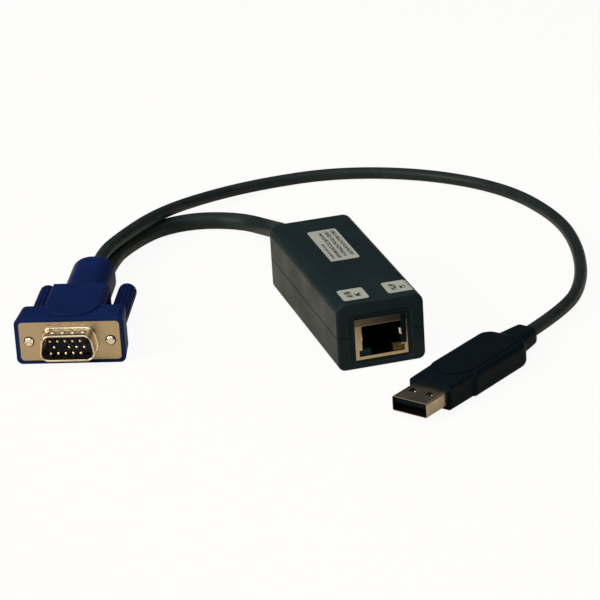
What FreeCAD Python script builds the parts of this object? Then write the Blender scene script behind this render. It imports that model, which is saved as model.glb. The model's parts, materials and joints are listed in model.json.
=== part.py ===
"""KVM dongle: a two-shell box with a modular jack, and a captive lead that ends in a video plug
with two thumbscrews and in a USB plug.

Millimetres, +Z up.  The origin is the centre of the box's underside, the jack faces -Y and the
lead leaves the rear wall along +Y.  Each plug is modelled in a frame of its own, with its front
face at y = 0 and its body along +Y, and is then laid on the table by its placement.
"""
import FreeCAD, Part
import math
import os

V = FreeCAD.Vector

# ---------------------------------------------------------------- driving sizes: box
BOX_LENGTH = 74.0
BOX_WIDTH = 27.2
BOX_HEIGHT = 21.4
WALL = 2.0
SEAM_HEIGHT = 10.7            # parting line of the two shells above the table
TOP_RADIUS = 3.2              # long upper edges
BOTTOM_RADIUS = 2.2           # long lower edges
FRONT_EDGE_RADIUS = 0.8
REAR_EDGE_RADIUS = 1.8
SEAM_GROOVE = 0.3             # visible groove along the parting line
LIP_HEIGHT = 1.2              # tongue on the lower shell that centres the upper one
LIP_THICKNESS = 0.8
FIT_GAP = 0.05                # between pieces that slide together
PANEL_MARGIN = 1.35           # sunk panel round the jack, at its sides and top
PANEL_SILL = 1.0              # and below it
PANEL_DEPTH = 0.5
PANEL_RADIUS = 0.8
PANEL_BEVEL = 0.35            # slanted rim of the panel

# jack
JACK_WIDTH = 16.3
JACK_HEIGHT = 12.9
JACK_DEPTH = 20.5
JACK_LIFT = 2.95              # underside of the jack above the table
SHEET = 0.25                  # shield's sheet metal
SOCKET_WIDTH = 12.2
SOCKET_TOP = 2.3              # from the top of the jack down to the socket
SOCKET_FLOOR = 2.95           # from the underside of the jack up to the socket
SOCKET_DEPTH = 14.0
LATCH_WIDTH = 6.2
SILL = 0.95                   # below the latch slot and the lamps
LAMP_WIDTH = 3.6
LAMP_HEIGHT = 2.0
LAMP_LENGTH = 1.6
CONTACT_COUNT = 8
CONTACT_PITCH = 1.02
CONTACT_THICKNESS = 0.35
TAB_SETBACKS = (6.0, 15.0)    # board tabs of the shield, from its front
TAB_LENGTH = 1.6
TAB_STANDOUT = 0.9
SPRING_HEIGHT = 2.3           # side springs of the shield
SPRING_REACH = 5.0
SPRING_BEND = 0.55

# circuit board and what is on it
BOARD_THICKNESS = 1.2
BOARD_GAP = 0.4               # board's edges from the walls
POST_RADIUS = 2.7
POST_GAP = 0.3                # posts from the side walls
FRONT_POST_SETBACK = 27.0     # from the front face to the first pair of posts
REAR_POST_SETBACK = 9.5       # from the rear face to the second pair
SCREW_RADIUS = 0.95
SCREW_HEAD_RADIUS = 1.75
SCREW_HEAD_HEIGHT = 1.3
SCREW_SEAT_HEIGHT = 9.0       # where the heads bear, above the table
CHIP_SIZE = 9.6
CHIP_THICKNESS = 1.4
CHIP_LEAD_COUNT = 9
LEAD_PITCH = 1.0
LEAD_WIDTH = 0.36
LEAD_REACH = 1.0
DRIVER_LENGTH = 8.7
DRIVER_WIDTH = 3.9
DRIVER_LEAD_COUNT = 7
DRIVER_PITCH = 1.27
DRIVER_INSET = 7.8            # chip's middle from the board's edge
CRYSTAL_GAP = 0.5             # between the crystal and the row of small capacitors
CRYSTAL_LENGTH = 11.0
CRYSTAL_WIDTH = 4.6
CRYSTAL_HEIGHT = 3.6
CAN_RADIUS = 2.5
CAN_HEIGHT = 5.4
CAN_BASE = 5.2
CHIP_CAPACITOR = (1.8, 1.2, 0.9)
CHIP_CAPACITOR_PITCH = 2.4
CHIP_CAPACITOR_COUNT = 6
CHIP_CAPACITOR_INSET = 2.3    # row's middle from the board's edge
HEADER_WIDTH = 12.0
HEADER_DEPTH = 4.6
HEADER_DROP = 6.4
HEADER_SETBACK = 20.6         # front of the wire header from the rear face
ROW_GAP = 2.4                 # free board between the header and the row before it
CONTROLLER_GAP = 1.7
WIRE_RADIUS = 0.4
WIRE_COUNT = 5
WIRE_PITCH = 2.0
WIRE_RING = 1.4               # cores sit this far from the lead's axis
WIRE_SPREAD_SETBACK = 12.2    # the cores part here, past the posts
JACKET_SETBACK = 6.0          # where the video lead's jacket ends, from the rear face

# labels
LABEL_THICKNESS = 0.12
SPEC_LABEL = (9.3, 26.8)      # width, length
PORT_LABEL = (7.9, 8.6)
SPEC_LABEL_SETBACK = 25.9     # its centre from the rear face
SPEC_LABEL_X = 0.2
PORT_LABEL_LEFT_INSET = (7.4, 6.7)    # centre from the left side and the front face
PORT_LABEL_RIGHT_INSET = (5.8, 7.2)   # centre from the right side and the front face
LABEL_CORNER = 0.9

# ---------------------------------------------------------------- driving sizes: leads
VIDEO_CABLE_RADIUS = 2.85
USB_CABLE_RADIUS = 2.05
VIDEO_CABLE_X = -2.5
GROMMET_RIM = 2.1             # flange beyond the cable
GROMMET_NECK = 1.1            # neck beyond the cable
GROMMET_FLANGE = 1.2
TIE_THICKNESS = 1.1
TIE_WIDTH = 2.5

# ---------------------------------------------------------------- driving sizes: video plug
VIDEO_SPOT = (-86.3, 2.95)    # plug's front centre on the table
VIDEO_TURN = -20.8
HOOD_HALF_WIDTH = 16.8
HOOD_HALF_HEIGHT = 7.4
HOOD_BLOCK_DEPTH = 11.2
HOOD_RIM = 0.25               # hood proud of the flange
HOOD_CORNER = 1.9
HOOD_DRAFT = 0.8
BODY_HALF_WIDTH = 9.2
BODY_LENGTH = 29.0
BODY_EDGE = 1.6
PAD_RADIUS = 8.5
PAD_FRONT = 1.6
PAD_RISE = 0.6
BOOT_HALF_WIDTH = 6.9
BOOT_HALF_HEIGHT = 6.2
BOOT_LENGTH = 57.5
BOOT_EDGE = 4.6
MARK_RADIUS = 0.6
PAD_MARK = (-0.3, 25.0)       # gate mark on the pad: x, y
BOOT_MARK = (3.4, 41.0)       # and on the boot
FLANGE_HALF_WIDTH = 15.4
FLANGE_HALF_HEIGHT = 6.25
FLANGE_SHEET = 0.4
FLANGE_CORNER = 1.2
D_HALF_WIDTH = 8.8            # wide side, at its sharp corner
D_HALF_HEIGHT = 4.15
D_SLANT = 10.0
D_CORNER = 2.6
D_DEPTH = 5.9
D_SHEET = 0.4
DENT_RADIUS = 1.3
DENT_DEPTH = 0.2
INSULATOR_FRONT = 0.8         # from the flange towards the front
INSULATOR_BACK = 5.6
PIN_PITCH = 2.29
PIN_ROW = 1.98
PIN_RADIUS = 0.38
PIN_REACH = 5.2
KNOB_OFFSET = 12.5
SHAFT_RADIUS = 1.42           # threaded end of each captive screw
SHAFT_PROUD = 0.9
SHAFT_COLLAR = 2.4            # the thick end stops here, so the screw can't pull out
SHANK_RADIUS = 1.15
RUNNING_GAP = 0.08
KNOB_RADIUS = 2.95
KNOB_END = 41.0
KNOB_TIP = 43.0
KNOB_START_GAP = 0.25
FLUTE_COUNT = 14
FLUTE_RADIUS = 0.5
MOULD_HALF_WIDTH = 8.6
MOULD_HALF_HEIGHT = 4.7
MOULD_LENGTH = 25.0
STUB_HALF_WIDTH = 5.0
STUB_HALF_HEIGHT = 5.2
STUB_END = 52.6
VIDEO_CABLE_SPOT = (2.03, -2.25)   # where each lead enters the boot: x, z
USB_CABLE_SPOT = (1.0, 3.15)

# ---------------------------------------------------------------- driving sizes: USB plug
USB_SPOT = (-4.8, -77.6)
USB_TURN = -53.4
USB_HALF_WIDTH = 6.0
USB_HALF_HEIGHT = 2.25
USB_SHEET = 0.3
USB_SHELL_LENGTH = 18.5
USB_REVEAL = 10.6             # length of shell in front of the moulding
WINDOW_X = 2.9
WINDOW_Y = 6.4
WINDOW_SIZE = 2.2
TONGUE_THICKNESS = 1.8
TONGUE_START = 0.8            # tip of the tongue behind the shell's front edge
TONGUE_END = 11.0
USB_CONTACT_X = (-3.5, -1.0, 1.0, 3.5)
GRIP_HALF_WIDTH = 8.4
GRIP_HALF_HEIGHT = 4.15
GRIP_START = 21.2
GRIP_END = 51.3
GRIP_REAR_CORNER = 4.8
GRIP_EDGE = 2.2
COLLAR_HALF_WIDTH = 7.3
COLLAR_HALF_HEIGHT = 3.8
GRIP_PAD_RISE = 0.4
GRIP_PAD_HALF_WIDTH = 6.4
GRIP_PAD_START = 17.6
NECK_HALF_WIDTH = 3.9
NECK_HALF_HEIGHT = 3.4
NECK_END = 61.0
USB_MOULD_HALF_HEIGHT = 2.6
USB_MOULD_END = 38.0
USB_STUB_END = 55.0

# the leads' routes on the table, each from one captive end to the other
VIDEO_CABLE_ROUTE = [
    (-2.5, 31.0, 10.7), (-2.5, 54.0, 10.7), (-2.7, 77.5, 4.2), (-8.6, 91.6, 2.85),
    (-22.0, 98.6, 2.85), (-35.6, 96.9, 2.95), (-47.7, 85.5, 3.9), (-58.9, 69.36, 5.15),
]
USB_CABLE_ROUTE = [
    (-62.69, 62.31, 10.6), (-53.2, 74.9, 10.3), (-39.0, 91.7, 9.2), (-21.0, 110.7, 5.4),
    (5.2, 125.4, 2.3), (35.2, 126.0, 2.05), (63.9, 110.3, 2.05), (83.5, 84.4, 2.05),
    (89.45, 52.1, 2.05), (86.0, 24.6, 2.05), (76.5, -3.8, 2.05), (61.83, -28.11, 4.15),
]

# ---------------------------------------------------------------- sizes that follow from those
FRONT = -BOX_LENGTH / 2
REAR = BOX_LENGTH / 2
HALF_WIDTH = BOX_WIDTH / 2
JACK_TOP = JACK_LIFT + JACK_HEIGHT
SOCKET_LOW = JACK_LIFT + SOCKET_FLOOR
SOCKET_HIGH = JACK_TOP - SOCKET_TOP
LAMP_LOW = JACK_LIFT + SILL
BOARD_LOW = JACK_TOP
BOARD_HIGH = BOARD_LOW + BOARD_THICKNESS
BOARD_HALF_WIDTH = HALF_WIDTH - WALL - BOARD_GAP
POST_X = HALF_WIDTH - WALL - POST_GAP - POST_RADIUS
POSTS = [(side * POST_X, y) for y in (FRONT + FRONT_POST_SETBACK, REAR - REAR_POST_SETBACK)
         for side in (-1, 1)]
CAPACITOR_ROW_X = CHIP_CAPACITOR_INSET - BOARD_HALF_WIDTH
CRYSTAL_X = CAPACITOR_ROW_X + CHIP_CAPACITOR[0] / 2 + CRYSTAL_GAP + CRYSTAL_WIDTH / 2
DRIVER_X = BOARD_HALF_WIDTH - DRIVER_INSET
HEADER_FRONT = REAR - HEADER_SETBACK
CRYSTAL_Y = HEADER_FRONT - ROW_GAP - CRYSTAL_LENGTH / 2
CONTROLLER_Y = CRYSTAL_Y - CRYSTAL_LENGTH / 2 - CONTROLLER_GAP - CHIP_SIZE / 2
SHANK_END = KNOB_END - 8.0    # how far the shank reaches into the knob
BIG = 200.0


# ---------------------------------------------------------------- helpers
def block(x0, x1, y0, y1, z0, z1):
    """Box between two corners."""
    return Part.makeBox(x1 - x0, y1 - y0, z1 - z0, V(x0, y0, z0))


def rod(radius, start, end):
    """Round bar between two points."""
    start, end = V(*start), V(*end)
    return Part.makeCylinder(radius, (end - start).Length, start, end - start)


def section(half_width, low, high, low_radius, high_radius, y=0.0):
    """Closed outline in a plane of constant y: a rectangle with rounded corners."""
    wire = []
    corners = [(1, low, low_radius), (1, high, high_radius), (-1, high, high_radius),
               (-1, low, low_radius)]
    ends = []
    for side, z, radius in corners:
        inward = 1 if z == low else -1
        centre = V(side * (half_width - radius), y, z + inward * radius)
        along = V(side * (half_width - radius), y, z)
        across = V(side * half_width, y, z + inward * radius)
        slant = radius / math.sqrt(2)
        middle = centre + V(side * slant, 0, -inward * slant)
        first, last = (along, across) if side * inward > 0 else (across, along)
        ends.append((first, middle, last))
    for index, (first, middle, last) in enumerate(ends):
        wire.append(Part.Arc(first, middle, last).toShape())
        following = ends[(index + 1) % len(ends)][0]
        if (following - last).Length > 1e-6:
            wire.append(Part.makeLine(last, following))
    return Part.Wire(wire)


def bar(half_width, low, high, low_radius, high_radius, y0, y1):
    """Rounded section carried along Y."""
    face = Part.Face(section(half_width, low, high, low_radius, high_radius, y0))
    return face.extrude(V(0, y1 - y0, 0))


def edges_at(shape, y, tolerance=1e-4):
    """Edges that lie in one plane across Y."""
    found = []
    for edge in shape.Edges:
        box = edge.BoundBox
        if abs(box.YMin - y) < tolerance and abs(box.YMax - y) < tolerance:
            found.append(edge)
    return found


def plan_prism(points, low, high):
    """Upright prism on a plan outline of straight sides."""
    corners = [V(x, y, low) for x, y in points]
    face = Part.Face(Part.makePolygon(corners + corners[:1]))
    return face.extrude(V(0, 0, high - low))


def round_upright(shape, radius, pick=lambda x, y: True):
    """Fillet the upright edges whose plan position is picked."""
    chosen = []
    for edge in shape.Edges:
        box = edge.BoundBox
        if box.XLength < 1e-4 and box.YLength < 1e-4 and pick(box.XMin, box.YMin):
            chosen.append(edge)
    return shape.makeFillet(radius, chosen)


def stadium(half_width, front, back, low, high):
    """Upright slab with a full round at its front end (towards -Y)."""
    centre = front + half_width
    slab = block(-half_width, half_width, centre, back, low, high)
    nose = Part.makeCylinder(half_width, high - low, V(0, centre, low))
    return slab.fuse(nose).removeSplitter()


def merged(shapes):
    """One solid from touching or overlapping shapes."""
    return shapes[0].fuse(shapes[1:]).removeSplitter()


def swept_tube(points, radius, name=""):
    """Tube along straight runs that are joined by tangent arcs; a named one prints its bends."""
    route = [V(*point) for point in points]
    edges = []
    bends = []
    start = route[0]
    for before, corner, after in zip(route, route[1:], route[2:]):
        incoming = (corner - before).normalize()
        outgoing = (after - corner).normalize()
        half_turn = incoming.getAngle(outgoing) / 2
        reach = 0.45 * min((corner - before).Length, (after - corner).Length)
        bend = reach / math.tan(half_turn)
        bends.append(round(bend, 1))
        first = corner - incoming * reach
        last = corner + outgoing * reach
        inward = (outgoing - incoming).normalize()
        middle = corner + inward * (bend / math.cos(half_turn) - bend)
        edges.append(Part.LineSegment(start, first).toShape())
        edges.append(Part.Arc(first, middle, last).toShape())
        start = last
    edges.append(Part.LineSegment(start, route[-1]).toShape())
    direction = route[1] - route[0]
    profile = Part.Wire(Part.makeCircle(radius, route[0], direction))
    path = Part.Wire(edges)
    tube = path.makePipeShell([profile], True, False)
    if name:
        expected = math.pi * radius ** 2 * path.Length
        print(name, "length", round(path.Length, 1), "bend radii", bends,
              "volume over section times length", round(tube.Volume / expected, 4))
    return tube


def placement(spot, height, turn):
    """Where a plug's own frame lies, so that the plug rests on the table."""
    return FreeCAD.Placement(V(*spot, height), FreeCAD.Rotation(V(0, 0, 1), turn))


VIDEO_FRAME = placement(VIDEO_SPOT, HOOD_HALF_HEIGHT, VIDEO_TURN)
USB_FRAME = placement(USB_SPOT, GRIP_HALF_HEIGHT, USB_TURN)


def laid(shape, frame):
    """Copy of a plug's piece, moved from the plug's own frame to where the plug lies."""
    moved = shape.copy()
    moved.Placement = frame.multiply(moved.Placement)
    return moved


def frame_point(frame, x, y, z):
    """Point of a plug's own frame, in the part's frame."""
    point = frame.multVec(V(x, y, z))
    return (point.x, point.y, point.z)


# ---------------------------------------------------------------- box
def box_solid(inset=0.0):
    """Outer form of the box, or the same form drawn in by an even wall."""
    low_radius = max(BOTTOM_RADIUS - inset, 0.6)
    high_radius = max(TOP_RADIUS - inset, 0.6)
    shape = bar(HALF_WIDTH - inset, inset, BOX_HEIGHT - inset, low_radius, high_radius,
                FRONT + inset, REAR - inset)
    if inset:
        return shape
    shape = shape.makeFillet(REAR_EDGE_RADIUS, edges_at(shape, REAR))
    return shape.makeFillet(FRONT_EDGE_RADIUS, edges_at(shape, FRONT))


def jack_hole():
    """Sunk panel on the front face and the hole for the jack."""
    side = JACK_WIDTH / 2 + PANEL_MARGIN
    low, high = JACK_LIFT - PANEL_SILL, JACK_TOP + PANEL_MARGIN
    panel = bar(side, low, high, PANEL_RADIUS, PANEL_RADIUS, FRONT - 1, FRONT + PANEL_DEPTH)
    grown = PANEL_BEVEL * 1.5
    rim = Part.makeLoft([section(side + grown, low - grown, high + grown, PANEL_RADIUS + grown,
                                 PANEL_RADIUS + grown, FRONT - PANEL_BEVEL / 2),
                         section(side, low, high, PANEL_RADIUS, PANEL_RADIUS,
                                 FRONT + PANEL_BEVEL)], True, True)
    half = JACK_WIDTH / 2 + FIT_GAP
    hole = block(-half, half, FRONT - 1, FRONT + WALL + 1, JACK_LIFT - FIT_GAP, JACK_TOP + FIT_GAP)
    return panel.fuse([rim, hole])


def cable_hole():
    """Hole in the rear wall for the grommet's neck."""
    radius = VIDEO_CABLE_RADIUS + GROMMET_NECK + FIT_GAP
    return rod(radius, (VIDEO_CABLE_X, REAR - WALL - 1, SEAM_HEIGHT),
               (VIDEO_CABLE_X, REAR + 1, SEAM_HEIGHT))


def lip(gap):
    """Ring just inside the wall that stands across the parting line."""
    inner = WALL - gap
    outer_face = box_solid(WALL - LIP_THICKNESS - gap)
    inner_face = box_solid(inner)
    slab = block(-BIG, BIG, -BIG, BIG, SEAM_HEIGHT - 0.01, SEAM_HEIGHT + LIP_HEIGHT + gap)
    return outer_face.cut(inner_face).common(slab)


def upper_shell():
    shell = box_solid().cut(box_solid(WALL))
    shell = shell.common(block(-BIG, BIG, -BIG, BIG, SEAM_HEIGHT, BIG))
    rebate = box_solid(WALL - LIP_THICKNESS - FIT_GAP).common(
        block(-BIG, BIG, -BIG, BIG, SEAM_HEIGHT - 1, SEAM_HEIGHT + LIP_HEIGHT + FIT_GAP))
    shell = shell.cut(rebate)
    posts = []
    for x, y in POSTS:
        posts.append(rod(POST_RADIUS, (x, y, BOARD_HIGH), (x, y, BOX_HEIGHT - WALL / 2)))
    shell = merged([shell] + posts)
    for x, y in POSTS:
        shell = shell.cut(rod(SCREW_RADIUS + FIT_GAP, (x, y, BOARD_HIGH - 1),
                              (x, y, BOX_HEIGHT - WALL)))
    return shell.cut(jack_hole()).cut(cable_hole())


def lower_shell():
    shell = box_solid().cut(box_solid(WALL))
    shell = shell.common(block(-BIG, BIG, -BIG, BIG, -1, SEAM_HEIGHT))
    groove = box_solid().cut(box_solid(SEAM_GROOVE)).common(
        block(-BIG, BIG, -BIG, BIG, SEAM_HEIGHT - SEAM_GROOVE, SEAM_HEIGHT + 1))
    shell = shell.cut(groove)
    pillars = []
    for x, y in POSTS:
        pillars.append(rod(POST_RADIUS, (x, y, WALL / 2), (x, y, BOARD_LOW)))
    shell = merged([shell, lip(0.0)] + pillars)
    for x, y in POSTS:
        shell = shell.cut(rod(SCREW_HEAD_RADIUS + 0.2, (x, y, -1), (x, y, SCREW_SEAT_HEIGHT)))
        shell = shell.cut(rod(SCREW_RADIUS + 0.2, (x, y, 0), (x, y, BOARD_LOW + 1)))
    return shell.cut(jack_hole()).cut(cable_hole())


def housing_screws():
    """Four pan-head screws with cross recesses, driven from below."""
    screws = []
    for x, y in POSTS:
        head = rod(SCREW_HEAD_RADIUS, (x, y, SCREW_SEAT_HEIGHT - SCREW_HEAD_HEIGHT),
                   (x, y, SCREW_SEAT_HEIGHT))
        crown = min(head.Edges, key=lambda edge: edge.BoundBox.ZMin + edge.BoundBox.ZMax)
        head = head.makeFillet(SCREW_HEAD_HEIGHT / 2, [crown])
        shank = rod(SCREW_RADIUS, (x, y, SCREW_SEAT_HEIGHT), (x, y, BOX_HEIGHT - WALL - 0.4))
        screw = merged([head, shank])
        face = SCREW_SEAT_HEIGHT - SCREW_HEAD_HEIGHT
        arm, web, depth = SCREW_HEAD_RADIUS * 0.55, 0.22, SCREW_HEAD_HEIGHT * 0.55
        for half_x, half_y in ((arm, web), (web, arm)):
            screw = screw.cut(block(x - half_x, x + half_x, y - half_y, y + half_y,
                                    face - 1, face + depth))
        screws.append(screw)
    return Part.makeCompound(screws)


def grommet():
    """Rubber bush that grips both sides of the rear wall."""
    z = SEAM_HEIGHT
    rim = VIDEO_CABLE_RADIUS + GROMMET_RIM
    neck = VIDEO_CABLE_RADIUS + GROMMET_NECK
    outer = rod(rim, (VIDEO_CABLE_X, REAR, z), (VIDEO_CABLE_X, REAR + GROMMET_FLANGE, z))
    edge = max(outer.Edges, key=lambda item: item.BoundBox.YMin)
    outer = outer.makeFillet(GROMMET_FLANGE / 2, [edge])
    middle = rod(neck, (VIDEO_CABLE_X, REAR - WALL, z), (VIDEO_CABLE_X, REAR, z))
    inner = rod(rim, (VIDEO_CABLE_X, REAR - WALL - GROMMET_FLANGE, z),
                (VIDEO_CABLE_X, REAR - WALL, z))
    bush = merged([outer, middle, inner])
    return bush.cut(rod(VIDEO_CABLE_RADIUS + FIT_GAP, (VIDEO_CABLE_X, REAR - BIG, z),
                        (VIDEO_CABLE_X, REAR + BIG, z)))


def cable_tie():
    """Nylon tie pulled tight behind the grommet."""
    z = SEAM_HEIGHT
    back = REAR - WALL - GROMMET_FLANGE - 0.2
    front = back - TIE_WIDTH
    outer = VIDEO_CABLE_RADIUS + TIE_THICKNESS
    band = rod(outer, (VIDEO_CABLE_X, front, z), (VIDEO_CABLE_X, back, z))
    lock = block(VIDEO_CABLE_X - 2.2, VIDEO_CABLE_X + 2.2, front - 0.4, back,
                 z - VIDEO_CABLE_RADIUS - 3.0, z - VIDEO_CABLE_RADIUS)
    tie = merged([band, lock])
    return tie.cut(rod(VIDEO_CABLE_RADIUS + FIT_GAP, (VIDEO_CABLE_X, front - BIG, z),
                       (VIDEO_CABLE_X, back + BIG, z)))


# ---------------------------------------------------------------- jack
def lamp_box(side, gap=0.0, length=LAMP_LENGTH):
    """Space of one indicator lamp; side is -1 on the left and 1 on the right."""
    inner = LATCH_WIDTH / 2 + 0.35
    low, high = sorted((side * inner, side * (inner + LAMP_WIDTH)))
    return block(low - gap, high + gap, FRONT + SHEET, FRONT + SHEET + length,
                 LAMP_LOW - gap, LAMP_LOW + LAMP_HEIGHT + gap)


def socket_space():
    """Room for the plug and its latch."""
    half = SOCKET_WIDTH / 2
    latch = LATCH_WIDTH / 2
    plug = block(-half, half, FRONT - 1, FRONT + SOCKET_DEPTH, SOCKET_LOW, SOCKET_HIGH)
    slot = block(-latch, latch, FRONT - 1, FRONT + SOCKET_DEPTH, LAMP_LOW, SOCKET_LOW + 0.1)
    return plug.fuse(slot)


def jack_shield():
    """Folded sheet-metal can with a cut-out front, side springs and board tabs."""
    half = JACK_WIDTH / 2
    back = FRONT + JACK_DEPTH
    can = block(-half, half, FRONT, back, JACK_LIFT, JACK_TOP)
    can = can.cut(block(-half + SHEET, half - SHEET, FRONT + SHEET, back - SHEET,
                        JACK_LIFT + SHEET, JACK_TOP - SHEET))
    can = can.cut(socket_space().common(block(-BIG, BIG, FRONT - 1, FRONT + SHEET + 0.1, 0, BIG)))
    for side in (-1, 1):
        inner, outer = LATCH_WIDTH / 2, LATCH_WIDTH / 2 + 0.35 + LAMP_WIDTH
        low, high = sorted((side * inner, side * outer))
        can = can.cut(block(low, high, FRONT - 1, FRONT + SHEET + 0.1, LAMP_LOW, SOCKET_LOW))
    pieces = [can]
    middle = (SOCKET_LOW + SOCKET_HIGH) / 2
    for side in (-1, 1):
        root = side * SOCKET_WIDTH / 2
        tip = root - side * SPRING_BEND
        leaf = plan_prism([(root + side * SHEET, FRONT), (root + side * SHEET, FRONT + SHEET),
                           (tip + side * SHEET, FRONT + SPRING_REACH),
                           (tip, FRONT + SPRING_REACH), (root, FRONT + SHEET), (root, FRONT)],
                          middle - SPRING_HEIGHT / 2, middle + SPRING_HEIGHT / 2)
        pieces.append(leaf)
        for y in [FRONT + setback for setback in TAB_SETBACKS]:
            low, high = sorted((side * half, side * (half - SHEET)))
            pieces.append(block(low, high, y, y + TAB_LENGTH, JACK_TOP - 0.5,
                                BOARD_HIGH + TAB_STANDOUT))
    return merged(pieces)


def jack_body():
    """Black insert: socket, latch slot, lamp channels and the comb that guides the contacts."""
    half = JACK_WIDTH / 2 - SHEET
    body = block(-half, half, FRONT + SHEET, FRONT + JACK_DEPTH - SHEET,
                 JACK_LIFT + SHEET, JACK_TOP - SHEET)
    body = body.cut(socket_space())
    for side in (-1, 1):
        body = body.cut(lamp_box(side))
        root = side * SOCKET_WIDTH / 2
        low, high = sorted((root - side * 0.1, root + side * (SHEET + 0.15)))
        middle = (SOCKET_LOW + SOCKET_HIGH) / 2
        body = body.cut(block(low, high, FRONT, FRONT + SPRING_REACH / 2,
                              middle - SPRING_HEIGHT / 2 - 0.1, middle + SPRING_HEIGHT / 2 + 0.1))
    for index in range(CONTACT_COUNT):
        x = (index - (CONTACT_COUNT - 1) / 2) * CONTACT_PITCH
        groove = CONTACT_THICKNESS / 2 + 0.1
        body = body.cut(block(x - groove, x + groove, FRONT + 1.5, FRONT + SOCKET_DEPTH,
                              SOCKET_HIGH - 0.1, SOCKET_HIGH + 0.7))
    return body


def jack_contacts():
    """Eight sprung wires that slope from the roof of the socket towards its back."""
    wires = []
    half = CONTACT_THICKNESS / 2
    for index in range(CONTACT_COUNT):
        x = (index - (CONTACT_COUNT - 1) / 2) * CONTACT_PITCH
        side_view = [(FRONT + 2.0, SOCKET_HIGH + 0.1), (FRONT + 2.0, SOCKET_HIGH + 0.45),
                     (FRONT + 5.0, SOCKET_HIGH + 0.45), (FRONT + SOCKET_DEPTH, SOCKET_HIGH - 2.6),
                     (FRONT + SOCKET_DEPTH, SOCKET_HIGH - 3.0), (FRONT + 4.9, SOCKET_HIGH + 0.1)]
        corners = [V(x - half, y, z) for y, z in side_view]
        face = Part.Face(Part.makePolygon(corners + corners[:1]))
        wires.append(face.extrude(V(CONTACT_THICKNESS, 0, 0)))
    return Part.makeCompound(wires)


def lamp(side):
    """Rectangular indicator with a slightly domed front."""
    shape = lamp_box(side)
    return shape.makeFillet(0.35, edges_at(shape, FRONT + SHEET))


# ---------------------------------------------------------------- circuit board
def circuit_board():
    half = BOARD_HALF_WIDTH
    board = block(-half, half, FRONT + WALL + BOARD_GAP, REAR - WALL - BOARD_GAP,
                  BOARD_LOW, BOARD_HIGH)
    board = round_upright(board, 1.0)
    for x, y in POSTS:
        board = board.cut(rod(SCREW_RADIUS + 0.3, (x, y, 0), (x, y, BIG)))
    for side in (-1, 1):
        low, high = sorted((side * (JACK_WIDTH / 2 + 0.1), side * (JACK_WIDTH / 2 - SHEET - 0.1)))
        for y in [FRONT + setback for setback in TAB_SETBACKS]:
            board = board.cut(block(low, high, y - 0.1, y + TAB_LENGTH + 0.1, 0, BIG))
    return board


def hanging_chip(width, length, x, y, leads, pitch):
    """Package under the board, with gull-wing leads along its two long sides."""
    low = BOARD_LOW - 0.1 - CHIP_THICKNESS
    body = block(x - width / 2, x + width / 2, y - length / 2, y + length / 2,
                 low, low + CHIP_THICKNESS)
    body = body.makeChamfer(0.2, [edge for edge in body.Edges
                                  if edge.BoundBox.ZMax < low + 1e-4])
    pieces = [body]
    middle = low + CHIP_THICKNESS / 2
    half = LEAD_WIDTH / 2
    knee, toe = width / 2 + LEAD_REACH * 0.45, width / 2 + LEAD_REACH
    for index in range(leads):
        y_lead = y + (index - (leads - 1) / 2) * pitch
        for side in (-1, 1):
            gull = [(width / 2 - 0.1, middle), (knee, middle), (knee, BOARD_LOW - 0.2),
                    (toe, BOARD_LOW - 0.2), (toe, BOARD_LOW), (knee - 0.2, BOARD_LOW),
                    (knee - 0.2, middle + 0.2), (width / 2 - 0.1, middle + 0.2)]
            corners = [V(x + side * out, y_lead - half, z) for out, z in gull]
            face = Part.Face(Part.makePolygon(corners + corners[:1]))
            pieces.append(face.extrude(V(0, LEAD_WIDTH, 0)))
    return merged(pieces)


def controller_chip():
    return hanging_chip(CHIP_SIZE, CHIP_SIZE, 0.0, CONTROLLER_Y, CHIP_LEAD_COUNT, LEAD_PITCH)


def driver_chip():
    return hanging_chip(DRIVER_WIDTH, DRIVER_LENGTH, DRIVER_X, CRYSTAL_Y, DRIVER_LEAD_COUNT,
                        DRIVER_PITCH)


def crystal_can():
    """Low can with round ends, laid along the board."""
    radius = CRYSTAL_WIDTH / 2
    reach = CRYSTAL_LENGTH / 2 - radius
    x, y = CRYSTAL_X, CRYSTAL_Y
    low = BOARD_LOW - CRYSTAL_HEIGHT
    slab = block(x - radius, x + radius, y - reach, y + reach, low, BOARD_LOW)
    ends = [rod(radius, (x, y + side * reach, low), (x, y + side * reach, BOARD_LOW))
            for side in (-1, 1)]
    can = merged([slab] + ends)
    return can.makeFillet(0.5, [edge for edge in can.Edges if edge.BoundBox.ZMax < low + 1e-4])


def bulk_capacitor():
    """Aluminium can on a square base, beside the wire header."""
    half = CAN_BASE / 2
    x = VIDEO_CABLE_X + HEADER_WIDTH / 2 + BOARD_GAP + half
    y = HEADER_FRONT + HEADER_DEPTH / 2
    base = block(x - half, x + half, y - half, y + half, BOARD_LOW - 0.8, BOARD_LOW)
    can = rod(CAN_RADIUS, (x, y, BOARD_LOW - CAN_HEIGHT), (x, y, BOARD_LOW - 0.8))
    return merged([base, can])


def chip_capacitors():
    """Small ceramic parts in a row beside the crystal."""
    parts = []
    width, length, height = CHIP_CAPACITOR
    x = CAPACITOR_ROW_X
    for index in range(CHIP_CAPACITOR_COUNT):
        y = HEADER_FRONT - ROW_GAP - (index + 0.5) * CHIP_CAPACITOR_PITCH
        parts.append(block(x - width / 2, x + width / 2,
                           y - length / 2, y + length / 2, BOARD_LOW - height, BOARD_LOW))
    return Part.makeCompound(parts)


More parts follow.
